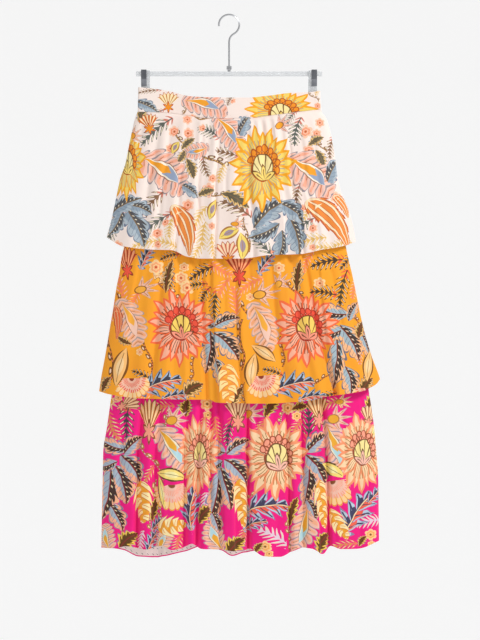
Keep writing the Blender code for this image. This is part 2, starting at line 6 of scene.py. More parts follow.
import bmesh
import bpy
import numpy as np
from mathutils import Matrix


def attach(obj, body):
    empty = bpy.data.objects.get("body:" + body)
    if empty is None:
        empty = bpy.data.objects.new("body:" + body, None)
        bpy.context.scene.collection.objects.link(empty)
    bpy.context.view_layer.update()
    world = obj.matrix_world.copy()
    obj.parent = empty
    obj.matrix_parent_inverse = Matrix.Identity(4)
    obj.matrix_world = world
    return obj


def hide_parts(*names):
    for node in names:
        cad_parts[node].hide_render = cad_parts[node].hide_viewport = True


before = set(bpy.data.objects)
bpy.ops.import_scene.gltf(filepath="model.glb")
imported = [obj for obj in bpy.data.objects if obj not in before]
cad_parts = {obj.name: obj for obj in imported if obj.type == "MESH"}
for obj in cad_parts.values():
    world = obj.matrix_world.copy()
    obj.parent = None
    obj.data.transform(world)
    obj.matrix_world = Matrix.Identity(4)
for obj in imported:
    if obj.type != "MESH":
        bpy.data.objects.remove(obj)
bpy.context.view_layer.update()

MM = 0.001

# The hung view: one pixel of a 480 x 640 frame is this many millimetres at the cloth
PIXEL = 1.85
VIEW_WIDTH = 480
VIEW_HEIGHT = 640
SEAT_PX = 229.0
SEAT_PY = 14.0
CAMERA_DISTANCE = 6000.0
CLOTH_FRONT = 30.0

FRONT = -1
BACK = 1

# Cloth, millimetres: its wall, the oval of a tier and how calm its side seams are
SHELL = 0.7
SEAM_GAP = 0.3
ROUNDNESS = 3.0
EDGE_CALM = 6.0

# Gathers: how they wander, how uneven they are, and where they start and die away
GATHER_WANDER = 9.0
GATHER_UNEVEN = 0.4
GATHER_UNEVEN_WAVES = 17.0
GATHER_RISE = 0.05
GATHER_FULL = 0.08
GATHER_LOSS = 0.85

# Folds: their share of width at the top, how fast they grow and how far they lean over
FOLD_TOP_SHARE = 0.6
FOLD_GROWTH = 0.7
OVERHANG = 0.55

# Creases: their spread, the shares of their run where they start and end, and their deepening
CREASE_SPREAD = 0.70
CREASE_START = 0.2
CREASE_END = 0.3
CREASE_DEEPEN = 0.5
DEEPEN_FROM = 0.1
DEEPEN_TO = 0.5

# Waistband and underskirt
BAND_SHELL = 2.0
BAND_PINCH = 4.2
BAND_SWELL = 4.3
BAND_SWELL_REACH = 0.76
BAND_GATHER_REACH = 0.7
BAND_ROUNDNESS = 150.0
CARRIER_INSET = 3.2
CARRIER_DROP = 0.8
CARRIER_LIFT = 1.55
TIER_TWO_SEAM = 396.0
TIER_THREE_SEAM = 659.0
UNDERSKIRT_HEM = 669.0

# Where each kind of panel spaces its columns evenly: a drop, or a tier's share of fall
BAND_EVEN_AT = 160.0
UNDERSKIRT_EVEN_AT = 500.0
TIER_EVEN_AT = 0.7
FINE_STEPS = 8

# Fineness of the cloth, in columns and rows of points
FRONT_COLUMNS = 320
FRONT_ROWS = 96
BACK_COLUMNS = 240
BACK_ROWS = 80
BAND_COLUMNS = 220
BAND_ROWS = 22
UNDERSKIRT_COLUMNS = 60
UNDERSKIRT_ROWS = 26

# Print: how far a motif reaches, where nothing is drawn, the unsteady hand, the back's shift
# and the tints above which a motif takes its second and third form
MOTIF_REACH = 1.3
FAR_AWAY = 9.0
HAND_SCALE = 60.0
HAND_WOBBLE = {"sprigs": 0.16, "leafage": 0.14, "flowers": 0.08}
BACK_SHIFT = 115.0
SECOND_TINT = 0.15
THIRD_TINT = 0.45

# Bake map: margins, the share of the inner face, what counts as an edge and how wide a rim is
MAP_EDGE = 0.004
MAP_SPLIT = 0.3
RIM_SHARE = 0.97
RIM_WIDTH = 0.8

# A quad's corners in the other direction, and the angle that makes an edge sharp
TURNED_OVER = (0, 3, 2, 1)
RIM_ANGLE = 60.0

# Surfaces: noise scales, the turned hem in metres and the wrong side's specks to the metre
THREAD_SCALE = 2200.0
THREAD_STRETCH = 0.25
SLACK_SCALE = 60.0
MOTTLE_SCALE = 14.0
GRAIN_SCALE = 260.0
SCUFF_SCALE = 45.0
SHEEN = 0.12
HEM_TURN = 0.0022
SPECK_PITCH = 90.0
WRONG_SIDE = 0.93

# Studio, metres and watts; a lamp is its name, place, size and power
SWEEP_BACK = 7.2
SWEEP_BEND = 0.6
SWEEP_FLOOR = -3.4
SWEEP_SPAN = 30.0
SWEEP_STEPS = 17
SWEEP_GLOW = 0.63
WORLD_STRENGTH = 0.40
LAMPS = (("key", (2.4, -1.7, 1.9), 0.9, 99.0), ("fill", (-1.9, -2.4, -1.25), 1.8, 16.0))
LAMP_AIM = (0.0, 0.0, -0.55)

# Rows of the tables: lengths in millimetres, places across a panel in percent
Section = namedtuple("Section", "drop left right depth")
Edge = namedtuple("Edge", "across drop")
Fold = namedtuple("Fold", "top hem width depth lean")
Gather = namedtuple("Gather", "count depth stray lasts")
Crease = namedtuple("Crease", "across top hem width depth slant")
Motif = namedtuple("Motif", "kind tint px py long wide turn", defaults=(0,))
Tier = namedtuple("Tier", "name sections top seam stuff slot motifs")
Half = namedtuple("Half", "side word gathers shift columns rows")


def rows_of(kind, *rows):
    """A table of named rows from plain numbers."""
    return [kind(*row) for row in rows]


def motif_table(*groups):
    """Motifs from groups of rows that share a kind and a tint."""
    return [Motif(kind, tint, *row) for kind, tint, *rows in groups for row in rows]


# How far the cloth reaches left, right and out at each drop
WAIST_SECTIONS = rows_of(Section,
    (130, -169, 169.5, 8.5), (160, -169.5, 170, 8.5), (196, -170.5, 173.5, 8.5),
)

UNDERSKIRT_SECTIONS = rows_of(Section,
    (180, -165.5, 168, 6.8), (200, -167.5, 172, 7.4), (300, -175.5, 186.5, 9.5), (396, -187, 205.5, 12),
    (500, -196, 223, 15.5), (600, -204, 239.5, 18.5), (690, -212, 254, 21),
)

TIER_ONE_SECTIONS = rows_of(Section,
    (180, -170.5, 172.5, 10), (192, -175, 181, 12.5), (234, -184.5, 192, 15.5),
    (276, -193, 198.5, 17.5), (302, -202, 202, 19), (324, -207, 207, 20), (363, -215, 222.5, 22.5),
    (389, -221, 230, 24), (413, -227.5, 234.5, 25.5), (456, -235, 241, 27.5),
)

TIER_TWO_SECTIONS = rows_of(Section,
    (396, -189.5, 208, 14), (429, -195, 217, 18), (453, -200.5, 222, 20), (477, -203.5, 228, 22),
    (503, -209, 233.5, 24), (548, -216, 242.5, 27), (583, -222, 250.5, 29.5), (630, -230, 264, 32.5),
    (677, -238.5, 281, 35.5), (722, -245, 290, 38),
)

TIER_THREE_SECTIONS = rows_of(Section,
    (659, -212, 253, 22.5), (705, -218.5, 261, 27), (768, -227.5, 270, 31.5), (810, -234, 273.5, 34.5),
    (864, -235, 277.5, 37.5), (900, -236, 278, 39.5), (1018, -238, 279.5, 43),
)

# The panels' upper and lower edges
WAIST_TOP = rows_of(Edge,
    (0, 133.5), (8, 136), (18, 141.5), (29, 150.5), (42, 152.5), (60, 153), (70, 150), (84, 144),
    (94, 142.5), (100, 140),
)

WAIST_SEAM = rows_of(Edge,
    (0, 179), (15, 180.5), (27, 186), (38, 191), (58, 191.5), (75, 184.5), (90, 178), (100, 174.5),
)

TIER_ONE_HEM = rows_of(Edge,
    (0, 412.5), (7, 429), (18, 435.5), (27, 437), (33, 449), (39, 452.5), (54, 452.5), (65, 446),
    (77, 444), (85, 437), (95, 428.5), (100, 421),
)

TIER_TWO_HEM = rows_of(Edge,
    (0, 698.5), (4, 704), (15, 711), (29, 713), (39, 713.5), (41.5, 718.5), (58, 720.5), (74, 715),
    (79, 708.5), (87, 703), (93, 697), (98, 685.5), (100, 676),
)

TIER_THREE_HEM = rows_of(Edge,
    (0, 989), (5, 989), (9, 984.5), (16, 990), (22, 983), (25, 990.5), (29, 988), (32.5, 979),
    (36, 988.5), (43.5, 990), (47, 992.5), (51, 992), (53.5, 989), (58, 1001.5), (64, 1003.5),
    (71.5, 986.5), (75, 988), (79.5, 998.5), (82.5, 984), (86, 989.5), (92, 989.5), (100, 976),
)

TIER_THREE_BACK_HEM = rows_of(Edge,
    (0, 989), (8, 996), (13, 1008.5), (18, 1010), (23, 1007.5), (27, 1003.5), (31, 997.5), (36, 990),
    (43, 997), (47.5, 1008.5), (52, 1001), (60, 996), (67, 1001), (75, 988), (84, 983), (92, 984),
    (100, 976),
)

# Large soft folds, which the CAD solids have as well
TIER_ONE_FOLDS = rows_of(Fold,
    (9, 9.5, 26, 5, 0.2), (17, 18, 24, 4.5, -0.1), (26, 26, 20, 6, 0.5), (34, 35, 16, 5, 0.5),
    (43, 42.5, 16, 6, 0.6), (52, 52.5, 24, 5.5, 0.5), (63, 62.5, 28, 5, 0), (72, 71, 16, 6, 0.6),
    (78, 77, 12, 5, 0.5), (85, 85, 20, 5, -0.3), (92, 93.5, 18, 5, 0.2),
)

TIER_TWO_FOLDS = rows_of(Fold,
    (7, 6, 22, 6, 0.2), (15, 14, 26, 5, -0.2), (23, 23, 26, 7, 0.3), (31, 32, 18, 6, 0.5),
    (40, 43.5, 26, 9, -0.6), (51, 52, 20, 6, -0.4), (61, 61, 28, 6, 0.1), (71, 70.5, 24, 7, 0.4),
    (79, 77.5, 16, 4, 0), (88, 85, 26, 9, -0.6), (94, 93.5, 20, 6, 0.2),
)

TIER_THREE_FOLDS = rows_of(Fold,
    (4, 4, 16, 4, 0), (11, 10.5, 20, 6, 0.4), (17, 16.5, 14, 6, 0.3), (26, 26, 24, 8, 0.5),
    (33, 32.7, 12, 6, 0.4), (38, 37.5, 12, 7, 0.3), (46, 47, 24, 9, 0.6), (60, 60, 30, 8, 0.3),
    (70, 70, 16, 5, 0.4), (77, 77.5, 20, 9, 0.6), (88, 89, 26, 7, 0), (96, 96, 12, 4, 0),
)

TIER_ONE_BACK_FOLDS = rows_of(Fold,
    (8, 8, 24, 5, -0.2), (19, 18, 26, 5.5, 0.3), (30, 31, 22, 6, -0.4), (41, 42, 26, 5, 0.2),
    (53, 52, 20, 6, -0.5), (63, 64, 28, 5, 0.1), (75, 76, 22, 6, 0.5), (86, 87, 26, 5, -0.2),
    (94, 95, 16, 4, 0),
)

TIER_TWO_BACK_FOLDS = rows_of(Fold,
    (6, 6, 22, 6, 0.2), (17, 16, 28, 7, -0.4), (29, 28, 24, 6, 0.4), (39, 40, 26, 8, 0.5),
    (51, 50, 28, 6, -0.1), (62, 63, 24, 8, -0.5), (74, 73, 28, 6, 0.2), (85, 84, 22, 7, 0.4),
    (94, 94, 18, 5, 0),
)

TIER_THREE_BACK_FOLDS = rows_of(Fold,
    (6, 6, 20, 6, 0.1), (15, 15.5, 26, 8, 0.4), (25, 26, 22, 7, -0.3), (35, 34, 24, 6, 0.3),
    (46, 47, 30, 9, -0.4), (58, 58, 24, 7, 0.4), (69, 70, 28, 8, 0.1), (80, 81, 22, 8, -0.5),
    (92, 91, 24, 6, 0.2),
)

# Gathers of each panel, and the front and back halves of a tier
BAND_BACK_GATHERS = Gather(13, 0.8, 0.3, 2.0)
NO_GATHERS = Gather(0, 0.0, 0.0, 1.0)
HALVES = (
    Half(FRONT, "front", Gather(17, 1.5, 0.9, 0.5), 0.0, FRONT_COLUMNS, FRONT_ROWS),
    Half(BACK, "back", Gather(15, 1.5, 0.9, 0.55), BACK_SHIFT, BACK_COLUMNS, BACK_ROWS),
)

# The prints: for each kind and tint, rows of place in the hung view, half-length, half-width
# and turn in degrees
BAND_MOTIFS = motif_table(
    ("palmette", 0, (205, 104, 24, 14, -16)),
    ("bloom", 0, (280, 112, 38, 30)),
    ("leaf", 0, (146, 105, 13, 6, -25), (243, 122, 9, 6, 40)),
    ("bud", 0.6, (168, 100, 10, 10, 90)),
    ("fern", 0.3, (149, 90, 12, 3, 8), (230, 99, 6, 4, 60)),
    ("fern", 0.6, (185, 90, 8, 3, -20), (318, 90, 8, 3, 60)),
    ("blossom", 0, (232, 100, 4, 3), (192, 117, 4, 4), (318, 105, 4, 4)),
    ("stem", 0, (186, 104, 10, 6, 60), (314, 96, 7, 4, -50)),
    ("fern", 0, (155, 113, 9, 4, 30)),
)

CREAM_MOTIFS = motif_table(
    ("bloom", 0, (262, 167, 35, 45), (126, 162, 19, 40)),
    ("palmette", 0, (164, 172, 30, 21, -38), (229, 132, 22, 14, -56), (311, 174, 30, 21, -40),
     (196, 150, 14, 9, 192)),
    ("leaf", 0, (243, 127, 14, 7, 62), (332, 172, 17, 9, 65), (190, 190, 12, 6, -38),
     (124, 205, 18, 9, 28), (136, 226, 22, 11, -66), (117, 222, 15, 8, -118), (140, 208, 13, 8, -20),
     (268, 213, 22, 11, 42), (293, 211, 17, 10, -38), (296, 236, 20, 11, -76), (264, 232, 17, 9, 205),
     (281, 246, 16, 8, -100)),
    ("leaf", 0.3, (142, 110, 13, 7, 70), (191, 168, 11, 6, -70), (187, 143, 9, 5, 40),
     (321, 158, 10, 6, -65), (316, 140, 9, 5, 30), (182, 156, 8, 5, -120), (206, 192, 9, 5, 20),
     (236, 199, 15, 8, -30)),
    ("paisley", 0, (184, 229, 27, 14, -72), (332, 221, 31, 17, -50)),
    ("paisley", 0.3, (347, 206, 14, 7, -60)),
    ("pod", 0, (229, 233, 11, 6, 28), (242, 246, 14, 7, -86)),
    ("pod", 0.3, (213, 209, 11, 5, 68), (175, 147, 7, 4, 60)),
    ("bud", 0.3, (228, 252, 12, 12, 90)),
    ("bud", 0, (148, 122, 10, 10, 100)),
    ("lily", 0.3, (240, 224, 9, 7), (136, 135, 8, 10)),
    ("lily", 0, (285, 122, 11, 10, 30)),
    ("fern", 0, (156, 130, 21, 8, 42), (209, 131, 12, 8, -25), (297, 131, 15, 8, 78),
     (291, 118, 9, 5, 60), (155, 224, 21, 7, 36), (112, 234, 15, 7, 62), (263, 247, 19, 7, -42),
     (303, 226, 15, 7, 40)),
    ("fern", 0.3, (152, 203, 20, 8, 48), (234, 207, 20, 9, -28), (226, 153, 16, 6, -12),
     (205, 166, 12, 6, 105), (331, 147, 12, 6, 80), (118, 215, 9, 5, 40), (297, 196, 14, 6, 82)),
    ("fern", 0.6, (199, 218, 14, 7, 60), (203, 236, 15, 7, 85), (197, 252, 13, 6, 60),
     (213, 247, 13, 6, 100), (146, 243, 14, 7, 12), (166, 243, 13, 7, -15), (170, 228, 11, 6, 80),
     (312, 240, 14, 7, 15), (325, 248, 14, 6, -5), (341, 244, 11, 6, 15), (221, 172, 11, 6, 75),
     (308, 213, 12, 6, 60)),
    ("blossom", 0, (174, 131, 6, 6), (187, 119, 5, 5), (188, 133, 6, 6), (170, 148, 5, 5),
     (213, 178, 5, 5), (209, 190, 7, 8), (306, 131, 7, 7), (320, 122, 5, 5), (317, 133, 5, 5),
     (309, 150, 6, 6), (336, 197, 6, 6), (188, 205, 6, 6), (157, 233, 6, 6), (158, 244, 5, 5),
     (203, 128, 5, 5), (165, 222, 5, 5), (212, 226, 4, 4), (303, 208, 4, 4), (313, 228, 5, 5),
     (117, 246, 6, 6), (273, 252, 4, 4), (313, 247, 4, 4)),
    ("stem", 0, (214, 160, 18, 12, -48), (181, 141, 15, 9, -78), (178, 170, 12, 7, 60),
     (321, 146, 15, 8, -62), (218, 195, 13, 8, -20), (247, 232, 20, 6, 92), (206, 118, 12, 7, -20)),
)

MARIGOLD_MOTIFS = motif_table(
    ("bloom", 0, (180, 327, 34, 41), (306, 328, 34, 41)),
    ("palmette", 0, (130, 322, 26, 14, -68), (263, 327, 27, 14, -72)),
    ("leaf", 0, (227, 321, 14, 8, 18), (207, 321, 11, 7, 140), (227, 345, 19, 11, -48),
     (209, 352, 22, 10, -97), (218, 372, 15, 8, -80), (332, 312, 16, 9, 166), (330, 333, 15, 9, 192),
     (351, 342, 21, 11, -62), (335, 364, 26, 10, -98), (353, 311, 11, 6, 60), (350, 382, 17, 9, -80),
     (369, 345, 14, 7, -70)),
    ("leaf", 0.6, (160, 384, 21, 12, 18), (176, 396, 14, 7, 10), (293, 385, 21, 12, 14),
     (312, 397, 14, 7, 8), (146, 257, 13, 7, 62), (266, 264, 13, 7, 52)),
    ("leaf", 0.3, (192, 389, 12, 9, 35), (124, 341, 8, 4, 150), (236, 396, 12, 7, 60),
     (105, 384, 9, 6, 60), (366, 385, 10, 7, 50), (168, 276, 17, 6, 78), (298, 276, 17, 6, 82),
     (360, 330, 10, 6, 70)),
    ("pod", 0, (120, 367, 20, 8, 76), (252, 371, 18, 7, 84), (264, 353, 14, 6, -35),
     (368, 366, 16, 6, 80)),
    ("paisley", 0.3, (117, 322, 17, 7, -86)),
    ("bud", 0, (239, 266, 17, 13, 92), (126, 261, 16, 11, 96)),
    ("fan", 0, (132, 386, 14, 13, -88), (262, 384, 15, 13, -86), (368, 395, 13, 11, -86)),
    ("lily", 0, (148, 287, 14, 11, 20), (268, 293, 15, 12, 12), (282, 280, 10, 9, 50)),
    ("lily", 0.3, (160, 277, 9, 7, 50)),
    ("cone", 0, (228, 384, 20, 12, -86)),
    ("blossom", 0, (156, 267, 8, 8), (187, 288, 7, 8), (181, 278, 7, 7), (184, 267, 5, 5),
     (279, 268, 6, 6), (250, 297, 4, 4)),
    ("blossom", 0.3, (140, 352, 4, 4), (320, 283, 6, 6)),
    ("fern", 0.3, (202, 272, 16, 8, 28), (328, 262, 18, 9, 12), (325, 293, 16, 8, -8),
     (352, 260, 14, 6, 42), (170, 256, 11, 5, 15), (144, 376, 13, 5, -28), (274, 372, 11, 5, -20),
     (327, 396, 12, 5, 20), (204, 296, 11, 6, 60)),
    ("fern", 0, (196, 285, 12, 6, 10), (170, 286, 11, 6, 78), (215, 303, 17, 7, 84),
     (343, 288, 19, 8, 78)),
    ("fern", 0.6, (222, 290, 15, 7, 62), (235, 300, 15, 8, -80), (250, 285, 14, 7, 35),
     (222, 270, 13, 7, 150), (120, 290, 16, 8, -80), (133, 302, 13, 6, 60), (113, 308, 14, 6, 82),
     (307, 262, 12, 5, 65), (357, 288, 12, 6, 70), (142, 396, 11, 5, 12), (360, 352, 14, 5, 84)),
    ("stem", 0, (148, 352, 20, 8, 95), (167, 290, 15, 9, -60), (193, 368, 13, 6, 70),
     (296, 292, 15, 8, -58), (242, 345, 26, 9, 85), (252, 318, 24, 7, -62), (110, 350, 30, 9, 88),
     (119, 300, 22, 7, -86), (283, 350, 17, 7, 82), (320, 380, 14, 7, 10), (244, 396, 14, 7, 80),
     (366, 372, 22, 7, 70), (358, 322, 16, 7, -70)),
)

PINK_MOTIFS = motif_table(
    ("bloom", 0, (199, 455, 25, 43), (276, 457, 33, 44), (362, 452, 26, 43)),
    ("palmette", 0, (172, 448, 28, 15, -60), (334, 447, 29, 13, -72), (303, 527, 27, 14, -106),
     (216, 536, 18, 11, 112), (106, 538, 14, 10, 100), (163, 541, 13, 9, 70)),
    ("leaf", 0, (112, 446, 15, 8, 158), (133, 445, 14, 8, 44), (105, 466, 12, 7, 196),
     (133, 469, 18, 11, -56), (122, 484, 21, 11, -74), (107, 494, 28, 12, -100),
     (116, 516, 17, 8, -66), (216, 448, 12, 8, 150), (239, 446, 14, 8, 30), (213, 466, 12, 7, 200),
     (238, 472, 18, 11, -52), (225, 487, 23, 10, -76), (215, 496, 26, 10, -102),
     (216, 523, 15, 7, -76), (318, 442, 15, 9, 40), (318, 470, 19, 11, -60), (307, 484, 24, 10, -98),
     (311, 508, 14, 7, -70)),
    ("leaf", 0.6, (192, 507, 22, 11, 84), (265, 507, 20, 14, 10), (252, 524, 14, 7, 20),
     (358, 512, 25, 13, 58), (374, 498, 14, 7, 50), (152, 541, 14, 7, 62), (158, 524, 10, 7, 40)),
    ("leaf", 0.3, (128, 540, 12, 10, 42), (205, 513, 12, 9, 52), (235, 545, 12, 10, 48),
     (322, 542, 12, 9, 60), (292, 511, 16, 6, 72), (154, 509, 13, 6, 76), (271, 407, 12, 7, 60),
     (186, 408, 9, 8, 80), (300, 407, 8, 6, 10), (371, 402, 12, 7, 60), (376, 470, 10, 6, 70),
     (258, 547, 6, 4, 60), (362, 541, 6, 4, 60)),
    ("cone", 0, (142, 502, 21, 12, -86), (173, 526, 13, 12, 10), (242, 503, 24, 9, -86),
     (322, 504, 24, 9, -84), (338, 524, 17, 8, -62)),
    ("pod", 0.3, (172, 475, 14, 7, -12), (331, 470, 14, 7, -30), (375, 430, 10, 5, 60),
     (162, 492, 17, 4, -80)),
    ("bud", 0, (149, 418, 22, 12, 88), (319, 410, 17, 12, 94)),
    ("fan", 0, (173, 494, 17, 14, -82), (334, 490, 17, 13, -80)),
    ("bud", 0.3, (238, 411, 18, 12, 92), (128, 403, 12, 10, 30), (370, 416, 12, 10, 80)),
    ("lily", 0, (178, 417, 12, 13, 30), (254, 412, 13, 12, 20), (341, 418, 12, 14, 10)),
    ("lily", 0.3, (345, 402, 9, 8), (113, 402, 8, 8)),
    ("fern", 0, (127, 422, 19, 8, 86), (308, 423, 20, 8, -88), (229, 432, 15, 6, 84)),
    ("fern", 0.3, (112, 427, 15, 8, 110), (217, 430, 13, 7, 104), (297, 428, 12, 6, 60),
     (160, 408, 14, 7, 12), (205, 424, 10, 6, 84), (262, 428, 11, 6, 70), (330, 404, 13, 6, 20),
     (178, 544, 11, 6, 78), (152, 470, 14, 5, 60), (345, 545, 14, 5, 10), (376, 452, 16, 6, 84),
     (295, 549, 9, 5, 60), (244, 536, 11, 5, 80), (350, 480, 12, 5, 60)),
    ("fern", 0.6, (275, 537, 17, 8, -34), (370, 522, 14, 7, 10), (206, 500, 12, 5, 84),
     (141, 541, 11, 5, 80)),
    ("blossom", 0, (207, 404, 7, 7), (208, 415, 5, 5), (288, 408, 7, 7), (297, 416, 5, 5),
     (265, 546, 6, 6), (269, 553, 4, 4), (371, 535, 6, 6), (372, 545, 4, 4), (365, 425, 4, 4)),
    ("blossom", 0.3, (118, 398, 4, 4)),
    ("stem", 0, (152, 460, 24, 8, -62), (158, 500, 22, 7, 92), (152, 530, 16, 8, 84),
     (208, 478, 20, 6, -88), (256, 492, 14, 6, 20), (290, 535, 16, 7, 84), (345, 452, 18, 7, -84),
     (166, 422, 16, 7, 60), (281, 424, 14, 6, 70)),
)

# Fine creases pressed into the cloth between the folds; a negative depth is a trough
TIER_ONE_CREASES = rows_of(Crease,
    (5, 0.02, 0.6, 7, -1.2, 1), (13.5, 0, 0.9, 8, -1.6, 0.5), (19.5, 0, 1, 7, -2.4, 0.6),
    (27.5, 0, 1, 7, -2.6, 0.4), (31, 0.05, 0.55, 5, 1, -0.6), (36, 0, 0.85, 6, -2.2, 0.3),
    (43.5, 0, 1, 6, -2.8, -0.4), (48.5, 0.1, 0.7, 5, -1.2, 0.3), (59, 0, 1, 7, -2.6, 0.2),
    (66, 0, 0.5, 6, -1.4, 0.4), (73, 0, 0.8, 6, 1.2, 0.2), (78.5, 0, 1, 6, -3, 0.1),
    (85, 0, 1, 7, -2.6, 0.5), (91, 0.05, 0.7, 6, -1.6, 0.6), (95.5, 0, 0.5, 6, -1, 0.5),
)

TIER_TWO_CREASES = rows_of(Crease,
    (8, 0, 0.7, 7, -2, -0.6), (18.5, 0, 1, 8, -2.6, -0.4), (26, 0, 0.6, 6, -1.7, 0.3),
    (31.5, 0, 1, 7, -2.9, 0.3), (36.5, 0, 1, 6, -4, 3), (45.5, 0.05, 0.6, 6, -1.4, 0.8),
    (50.5, 0, 1, 7, -2.6, 0.4), (56, 0, 0.45, 6, -1.5, 0.2), (65.5, 0, 0.9, 8, -2.4, 0.3),
    (74.5, 0, 0.8, 7, -2.2, -0.2), (81.5, 0, 1, 6, -4, 3.4), (91.5, 0, 0.8, 6, -2, 0.8),
    (96.5, 0.1, 0.9, 6, -1.3, 0.6),
)

TIER_THREE_CREASES = rows_of(Crease,
    (6.5, 0, 0.9, 7, -4.2, 0.2), (13, 0, 1, 6, -6.7, 0.2), (19.5, 0, 1, 8, -6.1, -0.5),
    (22.5, 0.25, 1, 5, 1.2, 0.2), (30, 0, 1, 6, -5.1, 0.3), (34.8, 0, 1, 6, -5.4, -0.5),
    (39.3, 0, 0.9, 5, -4.2, 0.4), (42.4, 0, 1, 6, -5.4, 0.8), (52.8, 0, 1, 6, -8, 0.2),
    (56, 0, 0.4, 6, -2.6, 0.6), (67.6, 0, 1, 6, -5.4, 0.4), (73, 0, 1, 6, -5.4, -0.3),
    (81.6, 0, 1, 6, -8.3, 0.3), (85, 0.5, 1, 6, 1.2, 0.4), (88.4, 0, 0.8, 7, -3.8, 0.5),
    (93, 0.2, 1, 6, -2.9, 0.2), (96.4, 0, 1, 5, -3.5, 0),
)

TIER_ONE_BACK_CREASES = rows_of(Crease,
    (4, 0, 0.7, 7, -1.4, 0.3), (13, 0, 0.9, 7, -2.4, -0.5), (24, 0, 1, 6, -2.8, 0.6),
    (29, 0.1, 0.6, 6, 1.1, 0.2), (36, 0, 1, 7, -2.4, -0.4), (47.5, 0, 0.8, 6, -2.8, 0.5),
    (58, 0, 1, 7, -2.6, -0.2), (69, 0, 0.9, 6, -2.6, 0.6), (81, 0, 1, 7, -2.8, 0.3),
    (90.5, 0, 0.7, 6, -1.8, -0.3),
)

TIER_TWO_BACK_CREASES = rows_of(Crease,
    (11, 0, 0.9, 7, -2.6, 0.4), (23, 0, 1, 6, -3.2, -0.5), (33.5, 0, 0.8, 7, -2.4, 0.6),
    (45.5, 0, 1, 6, -3.6, 0.4), (57, 0, 1, 6, -3, -0.8), (61, 0.1, 0.5, 6, 1.2, 0.2),
    (68.5, 0, 0.9, 7, -2.6, 0.4), (79.5, 0, 1, 6, -3.2, 0.6), (90, 0, 0.8, 6, -2.2, 0.2),
)

TIER_THREE_BACK_CREASES = rows_of(Crease,
    (10.5, 0, 0.9, 6, -5.1, 0.3), (20.5, 0, 1, 6, -6.4, -0.4), (30, 0, 1, 7, -5.4, 0.4),
    (40.5, 0, 1, 6, -7, 0.2), (52.5, 0, 1, 6, -6.4, -0.6), (55, 0.3, 0.9, 6, 1.2, 0.2),
    (63.5, 0, 0.9, 7, -5.1, 0.4), (75, 0, 1, 6, -6.7, 0.3), (86.5, 0, 1, 6, -6.1, -0.3),
    (96, 0.1, 0.9, 6, -3.2, 0.2),
)


def read(table, key, value, at):
    """Reads one named column of a table as a smooth curve without overshoot."""
    keys = np.array([getattr(row, key) for row in table], float)
    values = np.array([getattr(row, value) for row in table], float)
    steps = np.diff(values) / np.diff(keys)
    product = steps[:-1] * steps[1:]
    total = np.where(product > 0, steps[:-1] + steps[1:], 1.0)
    inner = np.where(product > 0, 2.0 * product / total, 0.0)
    slopes = np.concatenate((steps[:1], inner, steps[-1:]))
    at = np.clip(at, keys[0], keys[-1])
    i = np.clip(np.searchsorted(keys, at) - 1, 0, len(keys) - 2)
    span = keys[i + 1] - keys[i]
    t = (at - keys[i]) / span
    rise = (3.0 - 2.0 * t) * t * t
    lead = slopes[i] * span * t * (1.0 - t) ** 2
    trail = slopes[i + 1] * span * (t - 1.0) * t * t
    return values[i] + (values[i + 1] - values[i]) * rise + lead + trail


def smooth_step(low, high, value):
    """0 below low, 1 above high, with a soft change between."""
    t = np.clip((value - low) / (high - low), 0.0, 1.0)
    return t * t * (3.0 - 2.0 * t)


def bow(across, roundness):
    """Half of a flattened oval: 0 at both side seams and 1 over the middle."""
    reach = np.abs(2.0 * across - 1.0)
    return np.sqrt(np.clip(1.0 - reach ** roundness, 0.0, 1.0))


def gather_height(gathers, across, fall):
    """Small uneven gathers that start at the top seam and die away below it."""
    if gathers.count == 0:
        return np.zeros_like(across)
    phase = gathers.count * across + gathers.stray * np.sin(GATHER_WANDER * across + 1.0)
    wave = np.sin(2.0 * math.pi * phase)
    uneven = 1.0 - GATHER_UNEVEN + GATHER_UNEVEN * np.sin(GATHER_UNEVEN_WAVES * across + 2.0)
    loss = GATHER_LOSS * smooth_step(GATHER_FULL, gathers.lasts, fall)
    swell = smooth_step(0.0, GATHER_RISE, fall) * (1.0 - loss)
    return gathers.depth * wave * uneven * swell


def fold_height(folds, across, fall, width):
    """Soft ridges from a fold table, and how far a leaning one hangs over its steep side."""
    height = np.zeros_like(across)
    over = np.zeros_like(across)
    for fold in folds:
        centre = fold.top + (fold.hem - fold.top) * fall
        away = (100.0 * across - centre) * width / 100.0
        spread = fold.width * (FOLD_TOP_SHARE + (1.0 - FOLD_TOP_SHARE) * fall)
        reach = np.where(away < 0.0, spread * (1.0 + fold.lean), spread * (1.0 - fold.lean))
        ridge = np.cos(0.5 * math.pi * np.clip(away / reach, -1.0, 1.0)) ** 2
        lift = fold.depth * fall ** FOLD_GROWTH * ridge
        height += lift
        over += OVERHANG * fold.lean * lift
    return height, over


def crease_height(creases, across, fall, width):
    """Narrow uneven creases from a crease table; they deepen a little on their way down."""
    height = np.zeros_like(across)
    for crease in creases:
        centre = crease.across + crease.slant * (fall - 0.5)
        away = (100.0 * across - centre) * width / 100.0
        cut = np.exp(-(away / (CREASE_SPREAD * crease.width)) ** 2)
        run = crease.hem - crease.top
        fade = smooth_step(crease.top, crease.top + CREASE_START * run, fall)
        if crease.hem < 1.0:
            fade *= 1.0 - smooth_step(crease.hem - CREASE_END * run, crease.hem, fall)
        height += crease.depth * cut * fade
    return height * (1.0 + CREASE_DEEPEN * smooth_step(DEEPEN_FROM, DEEPEN_TO, fall))


